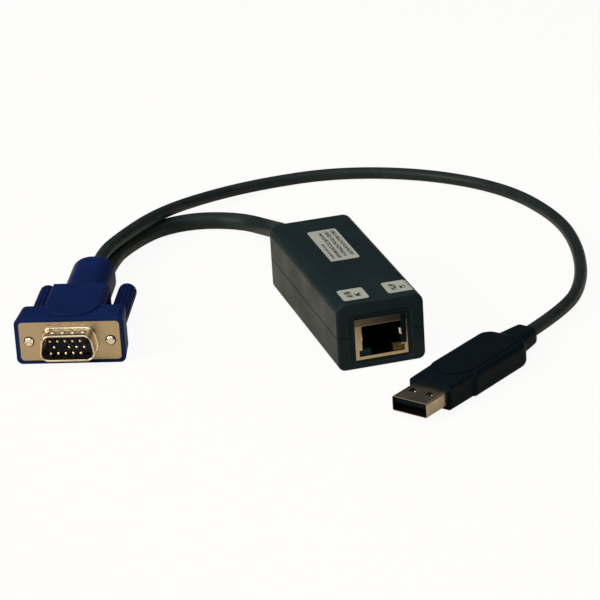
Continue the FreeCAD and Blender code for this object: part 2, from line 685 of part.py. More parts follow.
def wire_header():
    """Shrouded header under the board, open towards the rear."""
    x, y = VIDEO_CABLE_X, HEADER_FRONT
    half = HEADER_WIDTH / 2
    body = block(x - half, x + half, y, y + HEADER_DEPTH, BOARD_LOW - HEADER_DROP, BOARD_LOW)
    for index in range(WIRE_COUNT):
        spot = x + (index - (WIRE_COUNT - 1) / 2) * WIRE_PITCH
        body = body.cut(rod(WIRE_RADIUS + 0.1, (spot, y + HEADER_DEPTH - 1.5, SEAM_HEIGHT + 1),
                            (spot, y + HEADER_DEPTH + 1, SEAM_HEIGHT + 1)))
    return body


def inner_wires():
    """Insulated cores from the end of the jacket to the header."""
    start_y = REAR - JACKET_SETBACK - 3 * FIT_GAP
    wires = []
    angles = (180, 108, -108, 36, -36)
    for index, angle in enumerate(angles):
        turn = math.radians(angle)
        root = (VIDEO_CABLE_X + WIRE_RING * math.cos(turn), start_y,
                SEAM_HEIGHT + WIRE_RING * math.sin(turn))
        bundled = (root[0], REAR - WIRE_SPREAD_SETBACK, SEAM_HEIGHT + (root[2] - SEAM_HEIGHT) / 2)
        x = VIDEO_CABLE_X + (index - (WIRE_COUNT - 1) / 2) * WIRE_PITCH
        knee = (x, HEADER_FRONT + HEADER_DEPTH + 0.8, SEAM_HEIGHT + 1)
        tip = (x, HEADER_FRONT + HEADER_DEPTH - 1.4, SEAM_HEIGHT + 1)
        wires.append(swept_tube([root, bundled, knee, tip], WIRE_RADIUS))
    return Part.makeCompound(wires)


# ---------------------------------------------------------------- labels
def label(size, centre):
    """Thin sticker that follows the top of the box."""
    width, length = size
    x, y = centre
    outline = block(x - width / 2, x + width / 2, y - length / 2, y + length / 2,
                    BOX_HEIGHT - TOP_RADIUS, BOX_HEIGHT + 1)
    outline = round_upright(outline, LABEL_CORNER)
    skin = bar(HALF_WIDTH + LABEL_THICKNESS, -LABEL_THICKNESS, BOX_HEIGHT + LABEL_THICKNESS,
               BOTTOM_RADIUS, TOP_RADIUS + LABEL_THICKNESS, FRONT, REAR)
    core = bar(HALF_WIDTH, 0, BOX_HEIGHT, BOTTOM_RADIUS, TOP_RADIUS, FRONT - 1, REAR + 1)
    return skin.cut(core).common(outline)


def port_label(side, inset):
    """Square sticker near one front corner of the top."""
    return label(PORT_LABEL, (side * (HALF_WIDTH - inset[0]), FRONT + inset[1]))


# ---------------------------------------------------------------- video plug
def d_form(inset, y0, y1):
    """D-shaped prism, wide side down."""
    slope = math.tan(math.radians(D_SLANT))
    low, high = -D_HALF_HEIGHT + inset, D_HALF_HEIGHT - inset
    side = inset / math.cos(math.radians(D_SLANT))
    wide = D_HALF_WIDTH - side - slope * inset
    narrow = D_HALF_WIDTH - side - slope * (2 * D_HALF_HEIGHT - inset)
    corners = [V(-wide, y0, low), V(wide, y0, low), V(narrow, y0, high), V(-narrow, y0, high)]
    prism = Part.Face(Part.makePolygon(corners + corners[:1])).extrude(V(0, y1 - y0, 0))
    along = [edge for edge in prism.Edges if edge.BoundBox.YLength > abs(y1 - y0) - 1e-4]
    return prism.makeFillet(max(D_CORNER - inset, 0.4), along)


def flange_plate(y0, y1):
    """Plate of the connector, with its two screw holes."""
    plate = bar(FLANGE_HALF_WIDTH, -FLANGE_HALF_HEIGHT, FLANGE_HALF_HEIGHT, FLANGE_CORNER,
                FLANGE_CORNER, y0, y1)
    for side in (-1, 1):
        plate = plate.cut(rod(SHAFT_RADIUS + 0.25, (side * KNOB_OFFSET, y0 - 1, 0),
                              (side * KNOB_OFFSET, y1 + 1, 0)))
    return plate


def video_front_shell():
    """Drawn steel: the plate and the D-shaped skirt with its row of dents."""
    outer = d_form(0.0, -D_DEPTH, FLANGE_SHEET / 2)
    shell = flange_plate(0, FLANGE_SHEET).fuse(outer)
    root = [edge for edge in edges_at(shell, 0.0)
            if edge.BoundBox.XMax < D_HALF_WIDTH and edge.BoundBox.XMin > -D_HALF_WIDTH
            and abs(edge.BoundBox.ZMax) < FLANGE_HALF_HEIGHT - 0.1]
    shell = shell.makeFillet(0.6, root)
    shell = shell.cut(d_form(D_SHEET, -D_DEPTH - 1, FLANGE_SHEET + 1))
    for index in range(4):
        x = (index - 1.5) * 3.4
        centre = V(x, -D_DEPTH / 2, D_HALF_HEIGHT + DENT_RADIUS - DENT_DEPTH)
        shell = shell.cut(Part.makeSphere(DENT_RADIUS, centre))
    return shell


def video_rear_shell():
    """Second plate and its skirt towards the moulding."""
    y0 = FLANGE_SHEET
    shell = flange_plate(y0, y0 + FLANGE_SHEET).fuse(d_form(D_SHEET, y0, INSULATOR_BACK))
    return shell.cut(d_form(2 * D_SHEET, y0 - 1, BIG))


def pin_spots():
    """Plan of the pins: three rows, the middle one half a pitch over and one pin short."""
    spots = []
    for row, z in enumerate((PIN_ROW, 0.0, -PIN_ROW)):
        shift = PIN_PITCH / 4 if row == 1 else -PIN_PITCH / 4
        for column in range(5):
            if row == 1 and column == 1:
                continue
            spots.append(((column - 2) * PIN_PITCH + shift, z))
    return spots


def video_insulator():
    front = d_form(2 * D_SHEET, -INSULATOR_FRONT, INSULATOR_BACK)
    for x, z in pin_spots():
        front = front.cut(rod(PIN_RADIUS + 0.02, (x, -BIG, z), (x, BIG, z)))
    return front


def video_pins():
    pins = []
    for x, z in pin_spots():
        pin = rod(PIN_RADIUS, (x, -PIN_REACH, z), (x, INSULATOR_BACK, z))
        tip = min(pin.Edges, key=lambda edge: edge.BoundBox.YMin + edge.BoundBox.YMax)
        pins.append(pin.makeChamfer(PIN_RADIUS * 0.4, [tip]))
    return Part.makeCompound(pins)


def video_mould():
    """Hard inner moulding over the solder joints and the ends of both leads."""
    head = bar(MOULD_HALF_WIDTH, -MOULD_HALF_HEIGHT, MOULD_HALF_HEIGHT, 1.0, 1.0,
               INSULATOR_BACK, MOULD_LENGTH)
    stub = bar(STUB_HALF_WIDTH, -STUB_HALF_HEIGHT, STUB_HALF_HEIGHT, 1.5, 1.5,
               MOULD_LENGTH, STUB_END)
    return merged([head, stub])


def hood_outside():
    """Outer form: front block, waisted body with its raised pad, and the boot."""
    y0, y1 = -HOOD_RIM, HOOD_BLOCK_DEPTH
    front = section(HOOD_HALF_WIDTH, -HOOD_HALF_HEIGHT, HOOD_HALF_HEIGHT, HOOD_CORNER,
                    HOOD_CORNER, y0)
    back = section(HOOD_HALF_WIDTH - HOOD_DRAFT, -HOOD_HALF_HEIGHT, HOOD_HALF_HEIGHT,
                   HOOD_CORNER, HOOD_CORNER, y1)
    head = Part.makeLoft([front, back], True, True)
    head = head.makeFillet(1.2, edges_at(head, y1))
    head = head.makeFillet(0.5, edges_at(head, y0))
    body = block(-BODY_HALF_WIDTH, BODY_HALF_WIDTH, 4.0, BODY_LENGTH, -HOOD_HALF_HEIGHT,
                 HOOD_HALF_HEIGHT)
    body = round_upright(body, 3.0, lambda x, y: y > BODY_LENGTH - 1)
    body = body.makeFillet(BODY_EDGE, [edge for edge in body.Edges
                                       if edge.BoundBox.ZLength < 1e-4
                                       and edge.BoundBox.YMax > 4.0 + 1e-3])
    pad = stadium(PAD_RADIUS, PAD_FRONT, BODY_LENGTH - 2.0, 0.0, HOOD_HALF_HEIGHT + PAD_RISE)
    rim = [edge for edge in pad.Edges
           if edge.BoundBox.ZMin > HOOD_HALF_HEIGHT and edge.BoundBox.ZLength < 1e-4]
    pad = pad.makeFillet(PAD_RISE - 0.05, rim)
    return merged([head, body, pad, boot()])


def boot():
    """Flat oval sleeve with a domed end that both leads leave."""
    start = BODY_LENGTH - 8.0
    width = BOOT_HALF_WIDTH
    sleeve = block(-width, width, start, BOOT_LENGTH, -BOOT_HALF_HEIGHT, BOOT_HALF_HEIGHT)
    sleeve = round_upright(sleeve, width - 0.6, lambda x, y: y > BOOT_LENGTH - 1)
    long_edges = [edge for edge in sleeve.Edges
                  if edge.BoundBox.ZLength < 1e-4 and edge.BoundBox.YMax > start + 1e-3]
    return sleeve.makeFillet(BOOT_EDGE, long_edges)


def video_hood():
    hood = hood_outside()
    pocket = bar(FLANGE_HALF_WIDTH + FIT_GAP, -FLANGE_HALF_HEIGHT - FIT_GAP,
                 FLANGE_HALF_HEIGHT + FIT_GAP, FLANGE_CORNER, FLANGE_CORNER,
                 -HOOD_RIM - 1, 2 * FLANGE_SHEET)
    hood = hood.cut(pocket)
    hood = hood.cut(d_form(D_SHEET, FLANGE_SHEET, INSULATOR_BACK))
    hood = hood.cut(video_mould())
    for side in (-1, 1):
        x = side * KNOB_OFFSET
        hood = hood.cut(rod(SHAFT_RADIUS + RUNNING_GAP, (x, 0, 0),
                            (x, SHAFT_COLLAR + RUNNING_GAP, 0)))
        hood = hood.cut(rod(SHANK_RADIUS + RUNNING_GAP, (x, 0, 0), (x, HOOD_BLOCK_DEPTH + 2, 0)))
    for (x, z), radius in ((VIDEO_CABLE_SPOT, VIDEO_CABLE_RADIUS),
                           (USB_CABLE_SPOT, USB_CABLE_RADIUS)):
        hood = hood.cut(rod(radius + FIT_GAP, (x, STUB_END, z), (x, BOOT_LENGTH + 5, z)))
    marks = []
    for (x, y), top in ((PAD_MARK, HOOD_HALF_HEIGHT + PAD_RISE), (BOOT_MARK, BOOT_HALF_HEIGHT)):
        marks.append(Part.makeSphere(MARK_RADIUS, V(x, y, top + MARK_RADIUS * 0.7)))
    for mark in marks:
        hood = hood.cut(mark)
    return hood


def thumbscrew_shaft(side):
    """Captive screw: a thick end with a rounded lead-in, and a thinner shank fast in its knob."""
    x = side * KNOB_OFFSET
    end = rod(SHAFT_RADIUS, (x, -SHAFT_PROUD, 0), (x, SHAFT_COLLAR, 0))
    tip = min(end.Edges, key=lambda edge: edge.BoundBox.YMin + edge.BoundBox.YMax)
    end = end.makeFillet(SHAFT_RADIUS * 0.5, [tip])
    shaft = merged([end, rod(SHANK_RADIUS, (x, 0, 0), (x, SHANK_END, 0))])
    slot = block(x - SHAFT_RADIUS, x + SHAFT_RADIUS, -SHAFT_PROUD - 1, -SHAFT_PROUD + 0.4,
                 -0.25, 0.25)
    return shaft.cut(slot)


def thumbscrew_knob(side):
    """Long fluted grip with a stepped, rounded end."""
    x = side * KNOB_OFFSET
    start = HOOD_BLOCK_DEPTH + KNOB_START_GAP
    grip = rod(KNOB_RADIUS, (x, start, 0), (x, KNOB_END, 0))
    grip = grip.makeFillet(0.5, [edge for edge in grip.Edges if edge.BoundBox.YLength < 1e-4])
    for index in range(FLUTE_COUNT):
        turn = 2 * math.pi * index / FLUTE_COUNT
        centre = (x + KNOB_RADIUS * math.cos(turn), KNOB_RADIUS * math.sin(turn))
        grip = grip.cut(rod(FLUTE_RADIUS, (centre[0], start + 1.6, centre[1]),
                            (centre[0], KNOB_END - 1.6, centre[1])))
    tip = rod(KNOB_RADIUS - 0.9, (x, KNOB_END - 1, 0), (x, KNOB_TIP, 0))
    crown = max(tip.Edges, key=lambda edge: edge.BoundBox.YMin + edge.BoundBox.YMax)
    tip = tip.makeFillet(1.2, [crown])
    knob = merged([grip, tip])
    return knob.cut(rod(SHANK_RADIUS, (x, start - 1, 0), (x, SHANK_END, 0)))


# ---------------------------------------------------------------- USB plug
def usb_windows():
    """Latch windows of the shell, top and bottom."""
    cuts = []
    for side in (-1, 1):
        half = WINDOW_SIZE / 2
        cuts.append(block(side * WINDOW_X - half, side * WINDOW_X + half, WINDOW_Y - half,
                          WINDOW_Y + half, -BIG, BIG))
    return cuts[0].fuse(cuts[1])


def usb_shell():
    """Folded steel shell."""
    shell = bar(USB_HALF_WIDTH, -USB_HALF_HEIGHT, USB_HALF_HEIGHT, 0.5, 0.5, 0, USB_SHELL_LENGTH)
    shell = shell.cut(bar(USB_HALF_WIDTH - USB_SHEET, -USB_HALF_HEIGHT + USB_SHEET,
                          USB_HALF_HEIGHT - USB_SHEET, 0.2, 0.2, -1, USB_SHELL_LENGTH + 1))
    return shell.cut(usb_windows())


def tongue_bottom():
    """The tongue lies on the upper side of the shell's inside, contacts downwards."""
    return USB_HALF_HEIGHT - USB_SHEET - TONGUE_THICKNESS


def usb_tongue():
    inner = USB_HALF_WIDTH - USB_SHEET
    top = USB_HALF_HEIGHT - USB_SHEET
    tongue = bar(inner, tongue_bottom(), top, 0.2, 0.2, TONGUE_START, TONGUE_END)
    base = bar(inner, -top, top, 0.2, 0.2, TONGUE_END, USB_SHELL_LENGTH)
    insert = merged([tongue, base])
    for x in USB_CONTACT_X:
        insert = insert.cut(block(x - 0.55, x + 0.55, TONGUE_START + 0.8, USB_SHELL_LENGTH + 1,
                                  tongue_bottom() - 0.01, tongue_bottom() + 0.25))
    return insert


def usb_contacts():
    strips = []
    for x in USB_CONTACT_X:
        strips.append(block(x - 0.5, x + 0.5, TONGUE_START + 0.9, USB_SHELL_LENGTH, tongue_bottom(),
                            tongue_bottom() + 0.2))
    return Part.makeCompound(strips)


def usb_mould():
    """Hard inner moulding behind the shell."""
    half = USB_MOULD_HALF_HEIGHT
    head = bar(USB_HALF_WIDTH - 0.2, -half, half, 0.6, 0.6, USB_SHELL_LENGTH, USB_MOULD_END)
    stub = bar(NECK_HALF_WIDTH - 1.2, -NECK_HALF_HEIGHT + 0.9, NECK_HALF_HEIGHT - 0.9, 0.8, 0.8,
               USB_MOULD_END, USB_STUB_END)
    return merged([head, stub])


def usb_outside():
    """Outer form: flared collar, broad grip with its raised pad, and the neck."""
    collar_front = section(COLLAR_HALF_WIDTH, -COLLAR_HALF_HEIGHT, COLLAR_HALF_HEIGHT, 1.2, 1.2,
                           USB_REVEAL)
    collar_back = section(COLLAR_HALF_WIDTH + 0.3, -GRIP_HALF_HEIGHT + 0.3,
                          GRIP_HALF_HEIGHT - 0.1, 1.4, 1.4, GRIP_START + 4)
    collar = Part.makeLoft([collar_front, collar_back], True, True)
    grip = block(-GRIP_HALF_WIDTH, GRIP_HALF_WIDTH, GRIP_START, GRIP_END, -GRIP_HALF_HEIGHT,
                 GRIP_HALF_HEIGHT)
    grip = round_upright(grip, 1.6, lambda x, y: y < GRIP_START + 1)
    grip = round_upright(grip, GRIP_REAR_CORNER, lambda x, y: y > GRIP_END - 1)
    grip = grip.makeFillet(GRIP_EDGE, [edge for edge in grip.Edges
                                       if edge.BoundBox.ZLength < 1e-4])
    top = GRIP_HALF_HEIGHT + GRIP_PAD_RISE
    pad = stadium(GRIP_PAD_HALF_WIDTH, GRIP_PAD_START, GRIP_END - 4.0, 0.0, top)
    rim = [edge for edge in pad.Edges
           if edge.BoundBox.ZMin > top - 1e-3 and edge.BoundBox.ZLength < 1e-4]
    pad = pad.makeFillet(GRIP_PAD_RISE - 0.05, rim)
    root = section(NECK_HALF_WIDTH + 1.6, -NECK_HALF_HEIGHT, NECK_HALF_HEIGHT, 2.6, 2.6,
                   GRIP_END - 4)
    end = section(NECK_HALF_WIDTH, -NECK_HALF_HEIGHT + 0.4, NECK_HALF_HEIGHT - 0.4, 2.4, 2.4,
                  NECK_END)
    neck = Part.makeLoft([root, end], True, True)
    neck = neck.makeFillet(0.9, edges_at(neck, NECK_END))
    return merged([collar, grip, pad, neck])


def usb_overmould():
    shape = usb_outside()
    shape = shape.cut(bar(USB_HALF_WIDTH, -USB_HALF_HEIGHT, USB_HALF_HEIGHT, 0.5, 0.5,
                          0, USB_SHELL_LENGTH))
    shape = shape.cut(usb_mould())
    return shape.cut(rod(USB_CABLE_RADIUS + FIT_GAP, (0, USB_STUB_END, 0), (0, NECK_END + 5, 0)))


# ---------------------------------------------------------------- leads
def video_cable():
    x, z = VIDEO_CABLE_SPOT
    end = frame_point(VIDEO_FRAME, x, STUB_END, z)
    return swept_tube(VIDEO_CABLE_ROUTE + [end], VIDEO_CABLE_RADIUS, "video_cable")


def usb_cable():
    x, z = USB_CABLE_SPOT
    start = frame_point(VIDEO_FRAME, x, STUB_END, z)
    end = frame_point(USB_FRAME, 0, USB_STUB_END, 0)
    return swept_tube([start] + USB_CABLE_ROUTE + [end], USB_CABLE_RADIUS, "usb_cable")


# ---------------------------------------------------------------- all pieces
def all_parts():
    parts = {
        "upper_shell": upper_shell(),
        "lower_shell": lower_shell(),
        "housing_screws": housing_screws(),
        "circuit_board": circuit_board(),
        "controller_chip": controller_chip(),
        "driver_chip": driver_chip(),
        "crystal_can": crystal_can(),
        "bulk_capacitor": bulk_capacitor(),
        "chip_capacitors": chip_capacitors(),
        "wire_header": wire_header(),
        "inner_wires": inner_wires(),
        "cable_grommet": grommet(),
        "cable_tie": cable_tie(),
        "jack_shield": jack_shield(),
        "jack_body": jack_body(),
        "jack_contacts": jack_contacts(),
        "lamp_green": lamp(-1),
        "lamp_yellow": lamp(1),
        "spec_label": label(SPEC_LABEL, (SPEC_LABEL_X, REAR - SPEC_LABEL_SETBACK)),
        "port_label_left": port_label(-1, PORT_LABEL_LEFT_INSET),
        "port_label_right": port_label(1, PORT_LABEL_RIGHT_INSET),
        "video_cable": video_cable(),
        "usb_cable": usb_cable(),
    }
    video = {
        "video_hood": video_hood(),
        "video_front_shell": video_front_shell(),
        "video_rear_shell": video_rear_shell(),
        "video_insulator": video_insulator(),
        "video_pins": video_pins(),
        "video_mould": video_mould(),
        "screw_left": thumbscrew_shaft(-1),
        "screw_right": thumbscrew_shaft(1),
        "knob_left": thumbscrew_knob(-1),
        "knob_right": thumbscrew_knob(1),
    }
    usb = {
        "usb_overmould": usb_overmould(),
        "usb_mould": usb_mould(),
        "usb_shell": usb_shell(),
        "usb_tongue": usb_tongue(),
        "usb_contacts": usb_contacts(),
    }
    for name, shape in video.items():
        parts[name] = laid(shape, VIDEO_FRAME)
    for name, shape in usb.items():
        parts[name] = laid(shape, USB_FRAME)
    return parts


os.makedirs("parts", exist_ok=True)
for part_name, part_shape in all_parts().items():
    part_shape.exportStep("parts/" + part_name + ".step")
    print(part_name, len(part_shape.Solids), round(part_shape.Volume, 1))
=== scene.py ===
# %% [markdown]
# # KVM dongle
# A small black box with a network jack.  Its captive lead ends in a blue video plug with two
# thumbscrews, and a thinner lead goes on from the back of that plug to a flat USB plug.  The
# solids of every rigid piece come from the frame, at their real size.  This file dresses them: it
# lays the two leads, gives each plastic, metal and label its finish, and adds the small parts
# that are too fine for the solids.

# %% The frame
import bpy
import json
import math
from mathutils import Matrix, Vector


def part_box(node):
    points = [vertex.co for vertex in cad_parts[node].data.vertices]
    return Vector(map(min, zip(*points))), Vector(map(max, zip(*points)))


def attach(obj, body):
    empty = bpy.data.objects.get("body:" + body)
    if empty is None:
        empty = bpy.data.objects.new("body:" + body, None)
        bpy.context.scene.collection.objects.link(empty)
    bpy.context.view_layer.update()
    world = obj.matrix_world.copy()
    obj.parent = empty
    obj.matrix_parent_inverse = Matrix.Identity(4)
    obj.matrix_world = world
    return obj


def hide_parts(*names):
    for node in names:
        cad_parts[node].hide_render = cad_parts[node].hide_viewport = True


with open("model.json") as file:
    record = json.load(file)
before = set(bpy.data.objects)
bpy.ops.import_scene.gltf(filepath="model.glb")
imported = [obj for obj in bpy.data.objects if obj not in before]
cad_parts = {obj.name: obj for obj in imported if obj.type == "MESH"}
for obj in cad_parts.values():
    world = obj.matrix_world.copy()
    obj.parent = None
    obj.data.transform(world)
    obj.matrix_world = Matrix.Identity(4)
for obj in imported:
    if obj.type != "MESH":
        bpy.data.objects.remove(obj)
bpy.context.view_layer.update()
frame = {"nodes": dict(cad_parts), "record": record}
nodes = frame["nodes"]
MM = 0.001

# %% [markdown]
# ## Frames of the connectors
# The record gives the mouth of each connector as a mount: a spot and the direction it looks in.
# From it comes a frame of the connector's own, in which the mouth looks along -Y with Z up.  The
# small parts are laid in it, and the grain and masks of the finishes follow its turn.


# %% Frames of the connectors
def mount_of(name):
    return next(m for m in frame["record"]["mounts"] if m["name"] == name)


def mount_turn(name):
    """The turn about Z of a connector whose mouth would otherwise look along -Y."""
    back = -Vector(mount_of(name)["axis"])
    return math.atan2(-back.x, back.y)


def mount_frame(name):
    turn = Matrix.Rotation(mount_turn(name), 4, "Z")
    return Matrix.Translation(mount_of(name)["pos_m"]) @ turn


VIDEO_SPOT = tuple(mount_of("video_plug")["pos_m"])
VIDEO_TURN = mount_turn("video_plug")
VIDEO_FRAME = mount_frame("video_plug")
USB_SPOT = tuple(mount_of("usb_plug")["pos_m"])
USB_TURN = mount_turn("usb_plug")
USB_FRAME = mount_frame("usb_plug")
JACK_FRAME = mount_frame("network_jack")
print("plugs turned by", [round(math.degrees(turn), 1) for turn in (VIDEO_TURN, USB_TURN)])

# %% [markdown]
# ## Camera
# A long lens, well back from the table, keeps the box's edges nearly parallel.  The camera looks
# down at about twenty degrees, a little from the left of the jack, and is tilted slightly.

# %% Camera
CAMERA_SPOT = (-233.457 * MM, -825.030 * MM, 357.411 * MM)
CAMERA_DOWN = 22.157
CAMERA_HEADING = -15.125
CAMERA_ROLL = -3.499
camera_data = bpy.data.cameras.new("camera")
camera_data.lens = 180.25
camera_data.sensor_width = 36.0
camera_data.shift_x = -0.02085
camera_data.shift_y = -0.00222
camera_data.clip_start = 0.05
camera = bpy.data.objects.new("camera", camera_data)
bpy.context.scene.collection.objects.link(camera)
camera.location = CAMERA_SPOT
camera.rotation_euler = (math.radians(90 - CAMERA_DOWN), 0, math.radians(CAMERA_HEADING))
camera.rotation_euler.rotate_axis("Z", math.radians(CAMERA_ROLL))
bpy.context.scene.camera = camera
print("camera looks along", [round(v, 3) for v in camera.rotation_euler.to_matrix().col[2] * -1])

# %% [markdown]
# ## Leads
# A lead is a round cord of fixed length, so its line is a curve: one open NURBS spline whose
# control points are the corners of its route.  Order 3 makes it hug those corners in smooth
# bends, and its two ends stay exactly on the first and last point.  The bare curve gives the line
# that the lead follows, and the same curve with a round section gives the tube as a mesh.


# %% A cord from its route
def lay_cord(name, route, diameter):
    curve = bpy.data.curves.new(name + "_line", "CURVE")
    curve.dimensions = "3D"
    curve.resolution_u = 24
    spline = curve.splines.new("NURBS")
    spline.points.add(len(route) - 1)
    for point, spot in zip(spline.points, route):
        point.co = (spot[0] * MM, spot[1] * MM, spot[2] * MM, 1)
    spline.order_u = 3
    spline.use_endpoint_u = True
    print(name, "has", len(route), "points and is", round(spline.calc_length() / MM, 1), "mm long")
    line = bpy.data.objects.new(name + "_line", curve)
    bare = bpy.data.meshes.new_from_object(line)
    path = [tuple(vertex.co) for vertex in bare.vertices]
    curve.bevel_depth = diameter / 2
    curve.bevel_resolution = 7
    curve.use_fill_caps = True
    tube = bpy.data.meshes.new_from_object(line)
    cord = bpy.data.objects.new(name, tube)
    tube.name = name
    bpy.context.scene.collection.objects.link(cord)
    bpy.data.objects.remove(line)
    bpy.ops.object.select_all(action="DESELECT")
    cord.select_set(True)
    bpy.context.view_layer.objects.active = cord
    bpy.ops.object.mode_set(mode="EDIT")
    bpy.ops.mesh.select_all(action="SELECT")
    bpy.ops.mesh.remove_doubles(threshold=1e-6)
    bpy.ops.mesh.normals_make_consistent(inside=False)
    bpy.ops.object.mode_set(mode="OBJECT")
    bpy.ops.object.shade_smooth_by_angle(angle=math.radians(50))
    return cord, path


# %% The two leads
VIDEO_CABLE_DIAMETER = 5.7 * MM
USB_CABLE_DIAMETER = 4.1 * MM
VIDEO_CABLE_ROUTE = [
    (-2.5, 31.0, 10.7), (-2.5, 54.0, 10.7), (-2.7, 77.5, 4.2), (-8.6, 91.6, 2.85),
    (-22.0, 98.6, 2.85), (-35.6, 96.9, 2.95), (-47.7, 85.5, 3.9), (-58.9, 69.36, 5.15),
    (-65.72, 51.4, 5.15),
]
USB_CABLE_ROUTE = [
    (-66.69, 51.77, 10.55), (-62.69, 62.31, 10.6), (-53.2, 74.9, 10.3), (-39.0, 91.7, 9.2),
    (-21.0, 110.7, 5.4), (5.2, 125.4, 2.3), (35.2, 126.0, 2.05), (63.9, 110.3, 2.05),
    (83.5, 84.4, 2.05), (89.45, 52.1, 2.05), (86.0, 24.6, 2.05), (76.5, -3.8, 2.05),
    (61.83, -28.11, 4.15), (39.35, -44.81, 4.15),
]

video_cord, video_path = lay_cord("video_cord", VIDEO_CABLE_ROUTE, VIDEO_CABLE_DIAMETER)
usb_cord, usb_path = lay_cord("usb_cord", USB_CABLE_ROUTE, USB_CABLE_DIAMETER)
for cord, node in ((video_cord, "video_cable"), (usb_cord, "usb_cable")):
    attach(cord, "dongle")
    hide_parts(node)

# %% [markdown]
# ## Node trees
# The floor, the sky and every finish are small node trees.  Written by hand in Python such a tree
# is hard to read, so a socket is wrapped in a class whose operators add the Math nodes: `1 - mask`
# or `grain * 0.2` then say what they do.


# %% Sockets that can be added and multiplied
class Wire:
    """One output socket, with Python's operators for shader maths."""

    def __init__(self, finish, socket):
        self.finish = finish
        self.socket = socket

    def maths(self, operation, other, swapped=False):
        pair = (other, self) if swapped else (self, other)
        return self.finish.node("Math", {"operation": operation}, {0: pair[0], 1: pair[1]})

    def __add__(self, other):
        return self.maths("ADD", other)

    def __radd__(self, other):
        return self.maths("ADD", other, True)

    def __sub__(self, other):
        return self.maths("SUBTRACT", other)

    def __rsub__(self, other):
        return self.maths("SUBTRACT", other, True)

    def __mul__(self, other):
        return self.maths("MULTIPLY", other)

    def __rmul__(self, other):
        return self.maths("MULTIPLY", other, True)

    def __abs__(self):
        return self.maths("ABSOLUTE", 0)

    def under(self, limit, soft):
        """1 where the value is below the limit and 0 above it, with a soft edge."""
        return self.finish.node("MapRange", {"interpolation_type": "SMOOTHSTEP", "clamp": True},
                                {"Value": self, "From Min": limit + soft,
                                 "From Max": limit - soft})

    def stretch(self, low, high):
        """The part of the value from low to high, stretched to run from 0 to 1."""
        return self.finish.node("MapRange", {"clamp": True},
                                {"Value": self, "From Min": low, "From Max": high})


# %% A node tree and a finish
class Tree:
    """A node tree.  Its node method adds any node and gives back one of its outputs."""

    def __init__(self, owner):
        owner.use_nodes = True
        self.tree = owner.node_tree

    def feed(self, socket, value):
        if isinstance(value, Wire):
            self.tree.links.new(value.socket, socket)
        elif isinstance(value, tuple) and socket.type == "RGBA":
            socket.default_value = (*value, 1)[:4]
        else:
            socket.default_value = value

    def node(self, kind, settings, inputs, output=0):
        node = self.tree.nodes.new("ShaderNode" + kind)
        for key, value in settings.items():
            setattr(node, key, value)
        for key, value in inputs.items():
            self.feed(node.inputs[key], value)
        return Wire(self, node.outputs[output]) if node.outputs else None


class Finish(Tree):
    """The material of a surface, in the making."""

    def __init__(self, name, colour, roughness, metallic=0.0, **plain):
        self.material = bpy.data.materials.new(name)
        super().__init__(self.material)
        self.shader = self.tree.nodes["Principled BSDF"]
        self.shader.inputs["Base Color"].default_value = (*colour, 1)
        self.shader.inputs["Roughness"].default_value = roughness
        self.shader.inputs["Metallic"].default_value = metallic
        for key, value in plain.items():
            socket = key.replace("_", " ").title().replace("Ior", "IOR")
            self.shader.inputs[socket].default_value = value

    def place(self, scale=(1, 1, 1), turn=0.0, shift=(0, 0, 0)):
        """Object coordinates, moved, turned about Z and scaled."""
        spot = self.node("TexCoord", {}, {}, "Object")
        moved = self.node("Mapping", {"vector_type": "TEXTURE"},
                          {"Vector": spot, "Location": shift, "Rotation": (0, 0, turn)})
        return self.node("VectorMath", {"operation": "MULTIPLY"}, {0: moved, 1: scale})

    def axes(self, place):
        """The three coordinates of a place, in millimetres."""
        split = self.tree.nodes.new("ShaderNodeSeparateXYZ")
        self.tree.links.new(place.socket, split.inputs[0])
        return [Wire(self, output) * 1000 for output in split.outputs]

    def noise(self, size_mm, detail=3.0, rough=0.5, stretch=(1, 1, 1), turn=0.0):
        """Cloudy grain whose features are about this many millimetres across."""
        place = self.place(stretch, turn)
        return self.node("TexNoise", {}, {"Vector": place, "Scale": 1000 / size_mm,
                                          "Detail": detail, "Roughness": rough})

    def blend(self, mask, first, second):
        """Colour that goes from the first to the second with the mask."""
        node = self.tree.nodes.new("ShaderNodeMix")
        node.data_type = "RGBA"
        self.feed(node.inputs["Factor"], mask)
        self.feed([s for s in node.inputs if s.name == "A" and s.type == "RGBA"][0], first)
        self.feed([s for s in node.inputs if s.name == "B" and s.type == "RGBA"][0], second)
        return Wire(self, [s for s in node.outputs if s.type == "RGBA"][0])

    def relief(self, height, depth_mm, strength=1.0):
        """Bump from a height between 0 and 1, this many millimetres deep."""
        bump = self.node("Bump", {}, {"Height": height, "Distance": depth_mm * MM,
                                      "Strength": strength}, "Normal")
        self.feed(self.shader.inputs["Normal"], bump)

    def paint(self, colour=None, roughness=None, metallic=None):
        for name, value in (("Base Color", colour), ("Roughness", roughness),
                            ("Metallic", metallic)):
            if value is not None:
                self.feed(self.shader.inputs[name], value)
        return self


# %% [markdown]
# ## Floor and light
# The floor is a plain pale sheet.  To the camera it glows towards white, and the rest of it is an
# ordinary matt surface that keeps the soft shadow.  A part of the glow also shows in gloss and
# glass.  The sky is bright overhead and dim at the horizon, as in a room, which gives the bent
# metal its light and dark bands.

